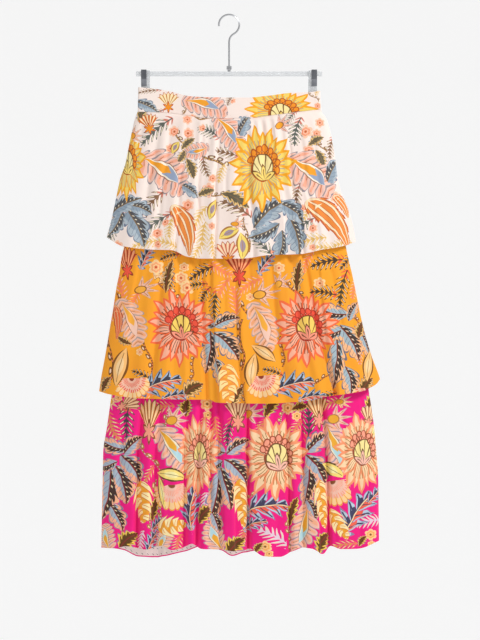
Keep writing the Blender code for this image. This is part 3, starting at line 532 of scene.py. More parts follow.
def waist_outline(side, across, drop, inset_x=0.0, inset_y=0.0):
    """The waistband's outer curve: pinched flat at the clips, swelling between them."""
    left = read(WAIST_SECTIONS, "drop", "left", drop) + inset_x
    right = read(WAIST_SECTIONS, "drop", "right", drop) - inset_x
    reach = (2.0 * across - 1.0) / BAND_SWELL_REACH
    swell = np.clip(1.0 - reach ** 2, 0.0, 1.0) ** 2
    depth = (BAND_PINCH - inset_y + BAND_SWELL * swell) * bow(across, BAND_ROUNDNESS)
    return left + (right - left) * across, side * (0.5 * SEAM_GAP + depth)


def tier_outline(side, sections, across, drop, relief, over=0.0):
    """A tier's outer curve: a flattened oval with folds standing on it."""
    left = read(sections, "drop", "left", drop)
    right = read(sections, "drop", "right", drop)
    depth = read(sections, "drop", "depth", drop) * bow(across, ROUNDNESS)
    calm = 1.0 - np.abs(2.0 * across - 1.0) ** EDGE_CALM
    x = left + (right - left) * across + over * calm
    return x, side * (0.5 * SEAM_GAP + depth + relief * calm)


def moved_out(side, x, y, distance):
    """Points of one ring moved square to the cloth, and along X at the side seams."""
    along_x = np.gradient(x)
    along_y = np.gradient(y)
    length = np.hypot(along_x, along_y)
    out_x = -side * along_y / length
    out_y = side * along_x / length
    out_x[0], out_y[0] = -1.0, 0.0
    out_x[-1], out_y[-1] = 1.0, 0.0
    return x + distance * out_x, y + distance * out_y


def even_columns(outline, count):
    """Column places an equal length of cloth apart."""
    fine = np.linspace(0.0, 1.0, FINE_STEPS * count + 1)
    x, y = outline(fine)
    length = np.concatenate(((0.0,), np.cumsum(np.hypot(np.diff(x), np.diff(y)))))
    return np.interp(np.linspace(0.0, length[-1], count + 1), length, fine)


def level(drop):
    """An edge that runs level."""
    return lambda across: 0.0 * across + drop


def edge(table, extra=0.0):
    """An edge from its table."""
    return lambda across: read(table, "across", "drop", 100.0 * across) + extra


class Panel:
    """One cut piece of cloth as rows of points from its top edge down to its hem."""

    def __init__(self, name, side, across, rows, top, hem, ring, wall):
        self.name = name
        self.side = side
        self.falls = np.linspace(0.0, 1.0, rows)
        outer = []
        inner = []
        for fall in self.falls:
            drop = top(across) * (1.0 - fall) + hem(across) * fall
            x, y = ring(across, drop, fall)
            inner_x, inner_y = moved_out(side, x, y, -wall)
            outer.append(np.stack((x, y, -drop), axis=1))
            inner.append(np.stack((inner_x, inner_y, -drop), axis=1))
        self.outer = np.array(outer)
        self.inner = np.array(inner)
        self.measure()

    def measure(self):
        """Cloth lengths along and down, and where each point is seen in its own view."""
        along = np.linalg.norm(np.diff(self.outer, axis=1)[:, :, :2], axis=2)
        self.along = np.concatenate((np.zeros((len(along), 1)), np.cumsum(along, axis=1)), axis=1)
        down = np.linalg.norm(np.diff(self.outer, axis=0), axis=2)
        self.down = np.concatenate((np.zeros((1, down.shape[1])), np.cumsum(down, axis=0)), axis=0)
        seen = self.outer[:, :, 0] if self.side == FRONT else -self.outer[:, ::-1, 0]
        along = self.along if self.side == FRONT else self.along[:, -1:] - self.along[:, ::-1]
        width = seen[:, -1:] - seen[:, :1]
        spread = seen[:, :1] + along / along[:, -1:] * width
        self.seen = seen
        self.spread_seen = spread
        self.spread = spread if self.side == FRONT else spread[:, ::-1]
        self.drop = -self.outer[:, :, 2]

    def flat(self):
        """The cut's width along the hem and its length, in metres."""
        return float(self.along[-1, -1] * MM), float(self.down[-1].mean() * MM)


def motif_places(panel, motif, shift):
    """Where a motif's middle lies on the cloth; a shifted print runs on past the side seam."""
    drop = (motif.py - SEAT_PY) * PIXEL
    row = int(np.argmin(np.abs(panel.drop[:, panel.drop.shape[1] // 2] - drop)))
    seen = panel.seen[row]
    at = (motif.px - SEAT_PX) * PIXEL + shift
    width = seen[-1] - seen[0]
    if shift and at > seen[-1]:
        at -= width
    line = np.maximum.accumulate(seen)
    middle = float(np.interp(at, line, panel.spread_seen[row]))
    places = (middle - width, middle, middle + width) if shift else (middle,)
    return [(place, drop) for place in places]


def in_motif(motif, place, across, down):
    """Points of the cloth in a motif's own square, -1 to 1 both ways."""
    turn = math.radians(motif.turn)
    right = across - place[0]
    up = place[1] - down
    x = (right * math.cos(turn) + up * math.sin(turn)) / (motif.long * PIXEL)
    y = (up * math.cos(turn) - right * math.sin(turn)) / (motif.wide * PIXEL)
    return x, y


def print_layers(panel, motifs, shift):
    """For each pattern layer, the local place and kind of motif at every corner of every quad."""
    spread = panel.spread
    drop = panel.drop
    corners = []
    for d_row, d_column in ((0, 0), (1, 0), (1, 1), (0, 1)):
        rows = slice(d_row, spread.shape[0] - 1 + d_row)
        columns = slice(d_column, spread.shape[1] - 1 + d_column)
        corners.append((spread[rows, columns].ravel(), drop[rows, columns].ravel()))
    middle_u = sum(corner[0] for corner in corners) / 4.0
    middle_v = sum(corner[1] for corner in corners) / 4.0
    layers = {}
    for layer in LAYERS:
        best = np.full(middle_u.shape, MOTIF_REACH ** 2)
        values = np.zeros((len(middle_u), 4, 3))
        values[:, :, :2] = FAR_AWAY
        for motif in motifs:
            home, number = KINDS[motif.kind][:2]
            if home != layer:
                continue
            for place in motif_places(panel, motif, shift):
                x, y = in_motif(motif, place, middle_u, middle_v)
                away = x * x + y * y
                mine = away < best
                best[mine] = away[mine]
                for corner, (corner_u, corner_v) in enumerate(corners):
                    x, y = in_motif(motif, place, corner_u[mine], corner_v[mine])
                    values[mine, corner, 0] = x
                    values[mine, corner, 1] = y
                    values[mine, corner, 2] = number + motif.tint
        layers[layer] = values
    return layers


def sheet_faces(rows, columns, first):
    """Corner numbers of one face of a wall, row by row."""
    corner = first + np.arange(rows - 1)[:, None] * columns + np.arange(columns - 1)[None, :]
    quads = np.stack((corner, corner + columns, corner + columns + 1, corner + 1), axis=2)
    return quads.reshape(-1, 4)


def rim_lines(rows, columns):
    """The four edges of a wall as runs of corner numbers, in the order its rim turns."""
    top = np.arange(columns)
    bottom = (rows - 1) * columns + np.arange(columns)
    left = np.arange(rows) * columns
    right = left + columns - 1
    return (top, bottom[::-1], left[::-1], right)


def chart(panel):
    """The wall's flat map for baking: the outer face above, the inner one below."""
    across = panel.along / panel.along[:, -1:]
    down = np.broadcast_to(panel.falls[:, None], across.shape)
    outer = np.stack((MAP_EDGE + (1 - 2 * MAP_EDGE) * across,
                      MAP_SPLIT + MAP_EDGE + (1 - MAP_SPLIT - 2 * MAP_EDGE) * (1 - down)), axis=2)
    inner = np.stack((outer[:, :, 0],
                      MAP_EDGE + (MAP_SPLIT - 3 * MAP_EDGE) * (1 - down)), axis=2)
    return outer.reshape(-1, 2), inner.reshape(-1, 2)


def corner_values(panel, layer_values, faces, outer_quads):
    """Spreads per-quad motif values over both faces of the wall; its rim is plain."""
    values = np.zeros((len(faces), 4, 3), np.float32)
    values[:, :, :2] = FAR_AWAY
    values[:outer_quads] = layer_values
    values[outer_quads:2 * outer_quads] = layer_values[:, TURNED_OVER]
    if panel.side == BACK:
        values = values[:, TURNED_OVER]
    return values


def wall_object(panel, motifs, shift, stuff):
    """The closed wall of a panel with its print, flat map and cloth measures."""
    rows, columns = panel.outer.shape[:2]
    count = rows * columns
    points = np.concatenate((panel.outer.reshape(-1, 3), panel.inner.reshape(-1, 3))) * MM
    outer_faces = sheet_faces(rows, columns, 0)
    inner_faces = sheet_faces(rows, columns, count)[:, TURNED_OVER]
    rims = []
    for line in rim_lines(rows, columns):
        a, b = line[:-1], line[1:]
        rims.append(np.stack((a, b, count + b, count + a), axis=1))
    faces = np.concatenate([outer_faces, inner_faces] + rims)
    if panel.side == BACK:
        faces = faces[:, TURNED_OVER]
    mesh = bpy.data.meshes.new(panel.name)
    mesh.from_pydata(points.tolist(), [], faces.tolist())
    mesh.update()
    outer_quads = len(outer_faces)
    for layer, values in print_layers(panel, motifs, shift).items():
        store_corners(mesh, layer, corner_values(panel, values, faces, outer_quads))
    flat_map(mesh, panel, faces, count, outer_quads)
    cloth_measures(mesh, panel, faces, count, outer_quads)
    mesh.materials.append(stuff)
    mesh.shade_smooth()
    mesh.set_sharp_from_angle(angle=math.radians(RIM_ANGLE))
    piece = bpy.data.objects.new(panel.name, mesh)
    bpy.context.scene.collection.objects.link(piece)
    return piece


def store_corners(mesh, name, values):
    """Keeps one vector for each corner of each face."""
    attribute = mesh.attributes.new(name, "FLOAT_VECTOR", "CORNER")
    attribute.data.foreach_set("vector", np.ascontiguousarray(values, np.float32).ravel())


def flat_map(mesh, panel, faces, count, outer_quads):
    """Stores the bake map; each rim is a thin strip beside its edge."""
    outer, inner = chart(panel)
    both = np.concatenate((outer, inner))
    corners = both[faces]
    rim = corners[2 * outer_quads:]
    beyond = faces[2 * outer_quads:] >= count
    edge_points = outer[faces[2 * outer_quads:] % count]
    middle = np.array((0.5, 0.5 + 0.5 * MAP_SPLIT))
    push = np.where(np.abs(edge_points - middle) > RIM_SHARE * (1.0 - middle), 1.0, 0.0)
    push *= np.sign(edge_points - middle)
    rim[:] = edge_points + np.where(beyond[:, :, None], RIM_WIDTH * MAP_EDGE * push, 0.0)
    layer = mesh.uv_layers.new(name="OFBake")
    layer.data.foreach_set("uv", corners.astype(np.float32).ravel())


def cloth_measures(mesh, panel, faces, count, outer_quads):
    """Metres along and down the cloth, and 1 on the wrong side."""
    measures = np.zeros((2 * count, 3))
    measures[:, 0] = np.tile(panel.along.ravel(), 2) * MM
    measures[:, 1] = np.tile((panel.down[-1:] - panel.down).ravel(), 2) * MM
    values = measures[faces]
    values[outer_quads:2 * outer_quads, :, 2] = 1.0
    store_corners(mesh, "cloth", values)


def sign(operation, turned=False):
    """A Python sign that adds one Math node; turned when the plain number comes first."""
    def apply(self, *others):
        return worked(operation, *others, self) if turned else worked(operation, self, *others)

    return apply


class Field:
    """A number worked out by shader nodes, so that formulas read as plain sums."""

    __add__ = sign("ADD")
    __radd__ = sign("ADD", turned=True)
    __sub__ = sign("SUBTRACT")
    __rsub__ = sign("SUBTRACT", turned=True)
    __mul__ = sign("MULTIPLY")
    __rmul__ = sign("MULTIPLY", turned=True)
    __truediv__ = sign("DIVIDE")
    __abs__ = sign("ABSOLUTE")
    __lt__ = sign("LESS_THAN")
    __gt__ = sign("GREATER_THAN")

    def __init__(self, tree, socket):
        self.tree = tree
        self.socket = socket


def worked(operation, *values):
    """One Math node over fields and plain numbers."""
    tree = next(value.tree for value in values if isinstance(value, Field))
    node = tree.nodes.new("ShaderNodeMath")
    node.operation = operation
    for socket, value in zip(node.inputs, values):
        if isinstance(value, Field):
            tree.links.new(value.socket, socket)
        else:
            socket.default_value = value
    return Field(tree, node.outputs[0])


def part(value):
    """What is left of a number above its whole part."""
    return worked("FRACT", value)


def root(value):
    """The square root."""
    return worked("SQRT", value)


def most(a, b):
    """The larger of two numbers."""
    return worked("MAXIMUM", a, b)


def near(value, middle, reach):
    """1 where a value is within reach of the middle."""
    return worked("COMPARE", value, middle, reach)


def heading(y, x):
    """The turn of a point about the origin, as a share of a full turn."""
    return worked("ARCTAN2", y, x) * (0.5 / math.pi)


def reach_of(x, y):
    """How far a point lies from the origin."""
    return root(x * x + y * y)


def peak(share):
    """1 at the middle of a spoke and 0 at its two sides."""
    return 1.0 - abs(share - 0.5) * 2.0


def bulge(x):
    """1 in the middle of a motif and 0 at and past its two ends."""
    return most(1.0 - x * x, 0.000001)


def hue(red, green, blue):
    """A colour as seen on screen, 0 to 255, turned into Blender's linear one."""
    shares = (red / 255.0, green / 255.0, blue / 255.0)
    linear = tuple(s / 12.92 if s <= 0.04045 else ((s + 0.055) / 1.055) ** 2.4 for s in shares)
    return (*linear, 1.0)


class Canvas:
    """The running colour of a print, painted over step by step."""

    def __init__(self, tree, ground):
        self.tree = tree
        self.colour = ground

    def paint(self, mask, fresh):
        """Lays a fresh colour where the mask is 1."""
        node = self.tree.nodes.new("ShaderNodeMix")
        node.data_type = "RGBA"
        self.tree.links.new(mask.socket, node.inputs[0])
        for socket, value in ((node.inputs[6], self.colour), (node.inputs[7], fresh)):
            if isinstance(value, tuple):
                socket.default_value = value
            else:
                self.tree.links.new(value, socket)
        self.colour = node.outputs[2]

    def show(self, shader):
        """Gives the finished colour to a shader."""
        self.tree.links.new(self.colour, shader.inputs["Base Color"])

    def paint_tinted(self, mask, tint, plain, second, third):
        """Lays one of three colours, by the motif's tint."""
        self.paint(mask, plain)
        self.paint(mask * (tint > SECOND_TINT), second)
        self.paint(mask * (tint > THIRD_TINT), third)


# Print colours as seen on screen, 0 to 255: on cream, on marigold, on pink
INKS = {
    "ground": ((245, 228, 219), (248, 163, 38), (243, 20, 130)),
    "blush": ((244, 218, 207), (246, 151, 44), (226, 10, 112)),
    "petal_tip": ((243, 164, 33), (243, 108, 62), (247, 152, 108)),
    "petal": ((243, 210, 104), (247, 176, 146), (250, 212, 168)),
    "vein": ((176, 160, 150), (104, 56, 34), (166, 112, 44)),
    "bead": ((240, 146, 36), (236, 84, 60), (247, 160, 132)),
    "bead_edge": ((180, 84, 30), (180, 54, 36), (158, 74, 48)),
    "bud": ((248, 228, 160), (248, 208, 100), (250, 228, 152)),
    "bud_line": ((120, 78, 36), (110, 62, 32), (116, 78, 46)),
    "calyx": ((247, 214, 116), (246, 150, 124), (250, 192, 172)),
    "lobe": ((242, 196, 180), (245, 190, 164), (244, 192, 172)),
    "lobe_heart": ((246, 172, 144), (244, 168, 120), (247, 176, 140)),
    "lobe_edge": ((150, 142, 146), (176, 160, 156), (166, 150, 164)),
    "drop": ((240, 160, 44), (245, 172, 60), (238, 170, 52)),
    "drop_end": ((150, 164, 190), (244, 200, 180), (180, 216, 224)),
    "drop_rim": ((248, 236, 218), (246, 200, 176), (246, 230, 196)),
    "drop_line": ((150, 92, 62), (150, 92, 66), (122, 96, 104)),
    "leaf_core": ((84, 82, 84), (66, 50, 44), (70, 48, 42)),
    "leaf_mid": ((146, 162, 176), (164, 182, 190), (170, 184, 196)),
    "leaf_outer": ((178, 190, 198), (247, 184, 134), (247, 178, 140)),
    "leaf_line": ((118, 128, 148), (108, 108, 124), (140, 128, 160)),
    "leaf_rib": ((130, 104, 72), (134, 60, 36), (140, 48, 44)),
    "oak": ((240, 196, 120), (247, 192, 112), (249, 206, 80)),
    "oak_core": ((100, 92, 72), (96, 66, 30), (100, 64, 26)),
    "spike": ((150, 170, 188), (170, 190, 212), (184, 202, 220)),
    "spike_core": ((74, 84, 96), (60, 60, 76), (66, 64, 92)),
    "spike_patch": ((222, 168, 140), (238, 112, 80), (240, 100, 80)),
    "dots": ((246, 232, 202), (246, 208, 176), (246, 222, 176)),
    "scale": ((246, 214, 130), (250, 222, 152), (252, 230, 172)),
    "scale_heart": ((236, 140, 60), (240, 150, 56), (240, 156, 44)),
    "scale_edge": ((206, 120, 66), (226, 126, 60), (222, 134, 62)),
    "pod": ((244, 216, 112), (248, 190, 118), (250, 222, 124)),
    "pod_edge": ((176, 118, 56), (126, 78, 28), (96, 70, 32)),
    "pod_patch": ((166, 148, 160), (250, 210, 154), (250, 236, 168)),
    "stripe": ((236, 138, 60), (238, 108, 62), (244, 166, 98)),
    "stripe_pale": ((250, 224, 184), (250, 176, 126), (251, 218, 166)),
    "stripe_line": ((190, 92, 52), (150, 58, 36), (136, 80, 44)),
    "fern": ((96, 100, 92), (74, 64, 42), (78, 66, 74)),
    "fern_tip": ((210, 128, 110), (232, 96, 62), (240, 110, 92)),
    "sprig": ((134, 98, 70), (76, 58, 44), (226, 138, 86)),
    "twig": ((226, 184, 106), (246, 132, 88), (230, 208, 218)),
    "blossom": ((250, 198, 168), (250, 208, 150), (251, 206, 148)),
    "blossom_heart": ((246, 148, 112), (248, 164, 112), (248, 170, 84)),
    "blossom_eye": ((176, 92, 44), (200, 86, 46), (120, 78, 46)),
    "stem": ((134, 92, 62), (128, 78, 32), (176, 118, 60)),
}
Ink = namedtuple("Ink", INKS)
CREAM_INK, MARIGOLD_INK, PINK_INK = (Ink(*(hue(*seen) for seen in row)) for row in zip(*INKS.values()))


def bloom(canvas, x, y, tint, ink):
    """A many-petalled open flower: a beaded arc over a gored bud in three pointed sepals."""
    reach = reach_of(x, y)
    turn = heading(y, x)
    spoke = part(turn * 11.0 + 0.25)
    point = peak(spoke)
    even = reach / (worked("SINE", turn * 18.8 + 1.0) * 0.05 + 1.0)
    canvas.paint(even / (0.56 + point * 0.42) < 1.0, ink.petal_tip)
    canvas.paint(even / (0.28 + point * 0.62) < 1.0, ink.petal)
    canvas.paint(even / (0.84 - point * 0.36) < 1.0, ink.petal_tip)
    canvas.paint(even / (0.76 - point * 0.50) < 1.0, ink.petal)
    rays = near(abs(part(spoke * 4.0) - 0.5), 0.0, 0.11)
    canvas.paint(rays * (even < (0.56 + abs(point - 0.5) * 0.2)), ink.vein)
    bud_x = x - 0.03
    bud_y = y - 0.02
    ring = reach_of(bud_x, bud_y)
    round_bud = heading(bud_y, bud_x)
    along = (part(round_bud * 15.0) - 0.5) * 0.168
    bead = reach_of(along, ring - 0.40)
    upper = (bud_y + bud_x * 0.35) > -0.06
    canvas.paint(upper * (bead < 0.090), ink.bead_edge)
    canvas.paint(upper * (bead < 0.062), ink.bead)
    canvas.paint(ring < 0.34, ink.bead_edge)
    small = abs(part(round_bud * 26.0) - 0.5) < 0.28
    canvas.paint(upper * small * near(ring, 0.315, 0.018), ink.bead)
    dome_x = bud_x / 0.28
    dome_y = (y - 0.01) / 0.29
    dome = dome_x * dome_x + dome_y * dome_y
    canvas.paint(dome < 1.0, ink.bud)
    foot_x = bud_x + bud_y * 0.15
    foot_y = bud_y + 0.30
    gore = part(heading(foot_y, foot_x) * 16.0)
    canvas.paint(near(gore, 0.5, 0.09) * (dome < 1.0), ink.bud_line)
    canvas.paint(near(dome, 1.0, 0.09), ink.bud_line)
    foot = reach_of(foot_x, foot_y)
    sepal = part(heading(foot_y, foot_x) * 6.0)
    tip = peak(sepal)
    calyx = foot / (0.13 + tip * 0.25)
    rising = foot_y > 0.0
    canvas.paint(rising * (calyx < 1.0), ink.bud_line)
    canvas.paint(rising * (calyx < 0.86), ink.calyx)
    canvas.paint(rising * (calyx < 0.62) * near(sepal, 0.5, 0.07), ink.bud_line)


def palmette(canvas, x, y, tint, ink):
    """A bent feather of round lobes about a teardrop."""
    y = y + x * x * 0.3 - 0.12
    side = abs(y)
    full = bulge(x)
    lobe = part(x * 3.2 - side * 1.1)
    swell = root(bulge(lobe * 2.0 - 1.0))
    share = side / (root(full) * (0.50 + swell * 0.50))
    canvas.paint(share < 1.0, ink.lobe_edge)
    canvas.paint((share < 0.92) * (abs(lobe - 0.5) < 0.42), ink.lobe)
    canvas.paint((share < 0.80) * near(lobe, 0.46, 0.17), ink.lobe_heart)
    canvas.paint((share < 0.50) * near(lobe, 0.5, 0.03), ink.drop_line)
    drop_x = (x + 0.12) / 0.72
    thick = bulge(drop_x) * (0.66 + drop_x * 0.36)
    drop = side * 2.0 / most(thick, 0.001)
    canvas.paint(drop < 1.0, ink.drop_line)
    canvas.paint(drop < 0.88, ink.drop_rim)
    canvas.paint((drop < 0.68) * (drop_x > 0.10), ink.drop_end)
    canvas.paint((drop < 0.56) * (drop_x < (0.44 - drop * 0.5)), ink.drop)


def leaf(canvas, x, y, tint, ink):
    """A lobed leaf with a toothed core: a broad one, an oak leaf or a spiky one by tint."""
    y = y + x * x * 0.28 - 0.10
    side = abs(y)
    keen = tint > SECOND_TINT
    spiky = tint > THIRD_TINT
    lobe = part(x * (keen * 1.0 - spiky * 0.5 + 1.7) - side * 0.9)
    soft = root(bulge(lobe * 2.0 - 1.0))
    sharp = 1.0 - abs(lobe - 0.62) * 1.7
    rim = soft + keen * (sharp - soft)
    full = bulge(x)
    full = full + spiky * (root(full) - full) * 0.8
    share = side / (full * (0.60 - spiky * 0.38 + rim * (spiky * 0.46 + 0.52)))
    canvas.paint(share < 1.0, ink.leaf_line)
    canvas.paint_tinted(share < 0.86, tint, ink.leaf_outer, ink.oak, ink.spike)
    canvas.paint((share < (0.48 - x * 0.46)) * (share < 0.86) * (1.0 - keen), ink.leaf_mid)
    canvas.paint((share < 0.78) * near(lobe, 0.64, 0.09) * spiky, ink.spike_core)
    notch = part(x * 4.2 - side * 2.0)
    lit = y < 0.0
    canvas.paint(lit * near(notch, 0.5, 0.06) * near(share, 0.44, 0.32) * (1.0 - keen), ink.leaf_line)
    core = most(1.0 - lit, keen) * (share < (0.40 - spiky * 0.12 + notch * 0.34))
    canvas.paint_tinted(core, tint, ink.leaf_core, ink.oak_core, ink.spike_core)
    canvas.paint(core * spiky * lit * (notch > 0.24), ink.spike_patch)
    dashed = near(side, 0.17, 0.07) * near(notch, 0.45, 0.13)
    canvas.paint(dashed * core * (1.0 - keen), ink.dots)
    canvas.paint((side < 0.05) * (share < 1.0), ink.leaf_rib)
    canvas.paint((side < 0.035) * (share < 0.9) * spiky, ink.dots)


def cone(canvas, x, y, tint, ink):
    """A hanging cone of two rows of long slanting scales with golden hearts."""
    side = abs(y)
    rise = part(x * 1.9 + (y > 0.0) * 0.5 - side * (0.35 + side * 0.9))
    full = root(bulge(x)) * most(0.95 - x * 0.25, 0.1)
    share = side / (full * (0.58 + rise * 0.46))
    inside = share < 0.92
    canvas.paint(share < 1.0, ink.scale_edge)
    canvas.paint(inside, ink.scale)
    canvas.paint(inside * (rise < (0.72 - side * 0.9)), ink.scale_heart)
    canvas.paint(inside * (rise < (0.46 - side)), ink.drop)
    canvas.paint(inside * (rise < 0.11), ink.scale_edge)
    canvas.paint(inside * near(rise, 0.74 - side * 0.2, 0.035) * (side < 0.5), ink.scale_edge)


def fan(canvas, x, y, tint, ink):
    """A half-round fan of scallops with two rows of fine rays."""
    foot = x + 0.55
    reach = reach_of(foot, y)
    turn = heading(y, foot)
    scallop = root(bulge(part(turn * 24.0) * 2.0 - 1.0))
    share = reach / (1.28 + scallop * 0.24)
    spread = foot > 0.0
    canvas.paint(spread * (share < 1.0), ink.scale_heart)
    canvas.paint(spread * (share < 0.95) * (scallop > 0.55), ink.blossom)
    canvas.paint(spread * (share < 0.70), ink.lobe)
    fine = near(part(turn * 36.0), 0.5, 0.22)
    canvas.paint(spread * fine * near(share, 0.62, 0.07), ink.bead)
    canvas.paint(spread * fine * near(share, 0.34, 0.10), ink.bead)
    canvas.paint(spread * (share < 0.14), ink.stripe_line)


def pod(canvas, x, y, tint, ink):
    """A pointed pod with a thick rim."""
    y = y + x * x * 0.2 - 0.08
    share = abs(y) / bulge(x)
    canvas.paint(share < 1.0, ink.pod_edge)
    canvas.paint(share < 0.72, ink.pod)
    patch_x = x / 0.5
    canvas.paint(abs(y) / bulge(patch_x) < 0.42, ink.pod_patch)
    canvas.paint(near(y, 0.0, 0.035) * near(x, 0.0, 0.75), ink.pod_edge)


def paisley(canvas, x, y, tint, ink):
    """A striped drop with a hooked tip and a curled cap."""
    y = y + x * x * 0.42 - 0.15
    full = root(bulge(x)) * most(0.66 - x * 0.34, 0.05)
    share = y / full
    flame = part(x * 2.4 - abs(share) * 0.5)
    outer = abs(share) / (0.86 + flame * 0.22)
    canvas.paint(outer < 1.0, ink.stripe_line)
    inside = outer < 0.87
    band = abs(part(share * 1.6 + 0.5) - 0.5)
    canvas.paint(inside, ink.stripe)
    canvas.paint(inside * (band < 0.15), ink.stripe_pale)
    canvas.paint(inside * near(band, 0.18, 0.035), ink.stripe_line)
    canvas.paint(inside * (x < -0.62) * near(flame, 0.5, 0.2), ink.stripe_pale)


def bud(canvas, x, y, tint, ink):
    """A striped fan of closed petals over spiky sepals."""
    foot = x + 0.62
    reach = reach_of(foot, y)
    turn = heading(y, foot)
    spoke = part(turn * 22.0 + 0.5)
    point = peak(spoke)
    cup = reach / (1.30 + point * 0.28)
    spread = abs(turn) < 0.128
    canvas.paint(spread * (cup < 1.0), ink.stripe_line)
    inside = spread * (cup < 0.94)
    canvas.paint_tinted(inside, tint, ink.stripe, ink.lobe_heart, ink.bud)
    canvas.paint(inside * (abs(spoke - 0.5) < 0.20), ink.stripe_pale)
    canvas.paint(inside * near(abs(spoke - 0.5), 0.44, 0.07), ink.stripe_line)
    thorn = abs(part(turn * 6.0 + 0.5) - 0.5) * 2.0
    canvas.paint(reach / (0.62 - thorn * 0.40) < 1.0, ink.stripe_line)
    canvas.paint(reach / (0.62 - thorn * 0.40) < 0.72, ink.bead)


def lily(canvas, x, y, tint, ink):
    """A flower seen side-on: five pointed, ribbed petals rise from a golden cup."""
    foot = x + 0.55
    high = y * 1.25
    reach = reach_of(foot, high)
    spoke = part(heading(high, foot) * 10.0 + 0.5)
    point = peak(spoke)
    share = reach / (0.66 + point * point * 0.82)
    raised = foot > 0.0
    canvas.paint(raised * (share < 1.0), ink.lobe_edge)
    canvas.paint_tinted(raised * (share < 0.90), tint, ink.lobe, ink.blossom, ink.lobe)
    canvas.paint(raised * (share < 0.80) * near(spoke, 0.36, 0.08), ink.lobe_heart)
    canvas.paint(raised * (share < 0.72) * near(spoke, 0.5, 0.035), ink.stem)
    canvas.paint(reach < 0.44, ink.stem)
    canvas.paint(reach < 0.36, ink.drop)


def fern(canvas, x, y, tint, ink):
    """A bent twig with slanting leaflets."""
    y = y + x * x * 0.3 - 0.12
    side = abs(y)
    share = side / (root(bulge(x)) * 0.95)
    leaflet = abs(part(x * 3.4 + side * 1.5) - 0.5)
    body = (leaflet < (0.32 - share * share * 0.26)) * (share < 1.0)
    canvas.paint_tinted(body, tint, ink.fern, ink.sprig, ink.twig)
    canvas.paint(body * near(leaflet, 0.0, 0.10) * near(share, 0.55, 0.22), ink.dots)
    canvas.paint(body * (x > 0.55) * (tint < THIRD_TINT), ink.fern_tip)
    canvas.paint_tinted((side < 0.075) * near(x, 0.0, 0.98), tint, ink.fern, ink.sprig, ink.twig)


def blossom(canvas, x, y, tint, ink):
    """A small round flower."""
    reach = reach_of(x, y)
    spoke = part(heading(y, x) * 6.0)
    swell = bulge(spoke * 2.0 - 1.0)
    share = reach / (0.72 + swell * 0.28)
    canvas.paint(share < 1.0, ink.blossom)
    canvas.paint(share < 0.66, ink.blossom_heart)
    canvas.paint((share < 0.86) * near(spoke, 0.0, 0.06), ink.blossom_heart)
    canvas.paint(near(share, 0.36, 0.07), ink.blossom)
    canvas.paint(share < 0.17, ink.blossom_eye)


def stem(canvas, x, y, tint, ink):
    """A waving stem with small buds."""
    sway = worked("SINE", x * 2.6) * 0.42
    off = y - sway
    here = near(x, 0.0, 1.0)
    canvas.paint((abs(off) < 0.10) * here, ink.stem)
    canvas.paint(near(part(x * 7.0), 0.5, 0.22) * (abs(off) < 0.05) * here, ink.twig)
    step = part(x * 2.2) - 0.5
    bud = root(step * step * 5.0 + (off - 0.28) * (off - 0.28) * 12.0)
    canvas.paint((bud < 0.72) * here, ink.stem)
    canvas.paint((bud < 0.36) * here, ink.dots)


# The pattern layer that each kind of motif is printed in, its number there and how it is drawn
KINDS = {
    "palmette": ("leafage", 1, palmette),
    "leaf": ("leafage", 2, leaf),
    "bloom": ("flowers", 1, bloom),
    "cone": ("flowers", 2, cone),
    "pod": ("flowers", 3, pod),
    "paisley": ("flowers", 4, paisley),
    "bud": ("flowers", 5, bud),
    "lily": ("flowers", 6, lily),
    "fan": ("flowers", 7, fan),
    "fern": ("sprigs", 1, fern),
    "blossom": ("sprigs", 2, blossom),
    "stem": ("sprigs", 3, stem),
}
LAYERS = ("sprigs", "leafage", "flowers")


def attribute_node(tree, name):
    """The vector that the mesh keeps under a name."""
    node = tree.nodes.new("ShaderNodeAttribute")
    node.attribute_name = name
    return node.outputs["Vector"]


def split(tree, vector):
    """The three numbers of a vector."""
    node = tree.nodes.new("ShaderNodeSeparateXYZ")
    tree.links.new(vector, node.inputs[0])
    return [Field(tree, socket) for socket in node.outputs]


def noise(tree, vector, scale, detail=2.0):
    """A node of soft noise, centred on a half."""
    node = tree.nodes.new("ShaderNodeTexNoise")
    node.inputs["Scale"].default_value = scale
    node.inputs["Detail"].default_value = detail
    tree.links.new(vector, node.inputs["Vector"])
    return node


def print_layer(canvas, cloth, layer, ink):
    """Draws every kind of motif that one pattern layer holds."""
    tree = canvas.tree
    x, y, code = split(tree, attribute_node(tree, layer))
    wobble = split(tree, noise(tree, cloth, HAND_SCALE, 0.0).outputs["Color"])
    x = x + (wobble[0] - 0.5) * HAND_WOBBLE[layer]
    y = y + (wobble[1] - 0.5) * HAND_WOBBLE[layer]
    kind = worked("FLOOR", code + 0.05)
    tint = code - kind
    for home, number, draw in KINDS.values():
        if home == layer:
            away = abs(kind - number) * FAR_AWAY
            draw(canvas, x + away, y + away, tint, ink)


def fresh_stuff(name):
    """A new material with its node tree and its shader."""
    made = bpy.data.materials.new(name)
    made.use_nodes = True
    return made, made.node_tree, made.node_tree.nodes["Principled BSDF"]


def field(tree, vector, scale, detail=2.0):
    """A soft random number, centred on a half."""
    return Field(tree, noise(tree, vector, scale, detail).outputs[0])


def feed(tree, value, shader, socket):
    """Leads a field into one of the shader's sockets."""
    tree.links.new(value.socket, shader.inputs[socket])


def fine_bumps(tree, shader, height, strength, distance):
    """Grain that is too small for the mesh."""
    bump = tree.nodes.new("ShaderNodeBump")
    bump.inputs["Strength"].default_value = strength
    bump.inputs["Distance"].default_value = distance
    tree.links.new(height.socket, bump.inputs["Height"])
    tree.links.new(bump.outputs[0], shader.inputs["Normal"])


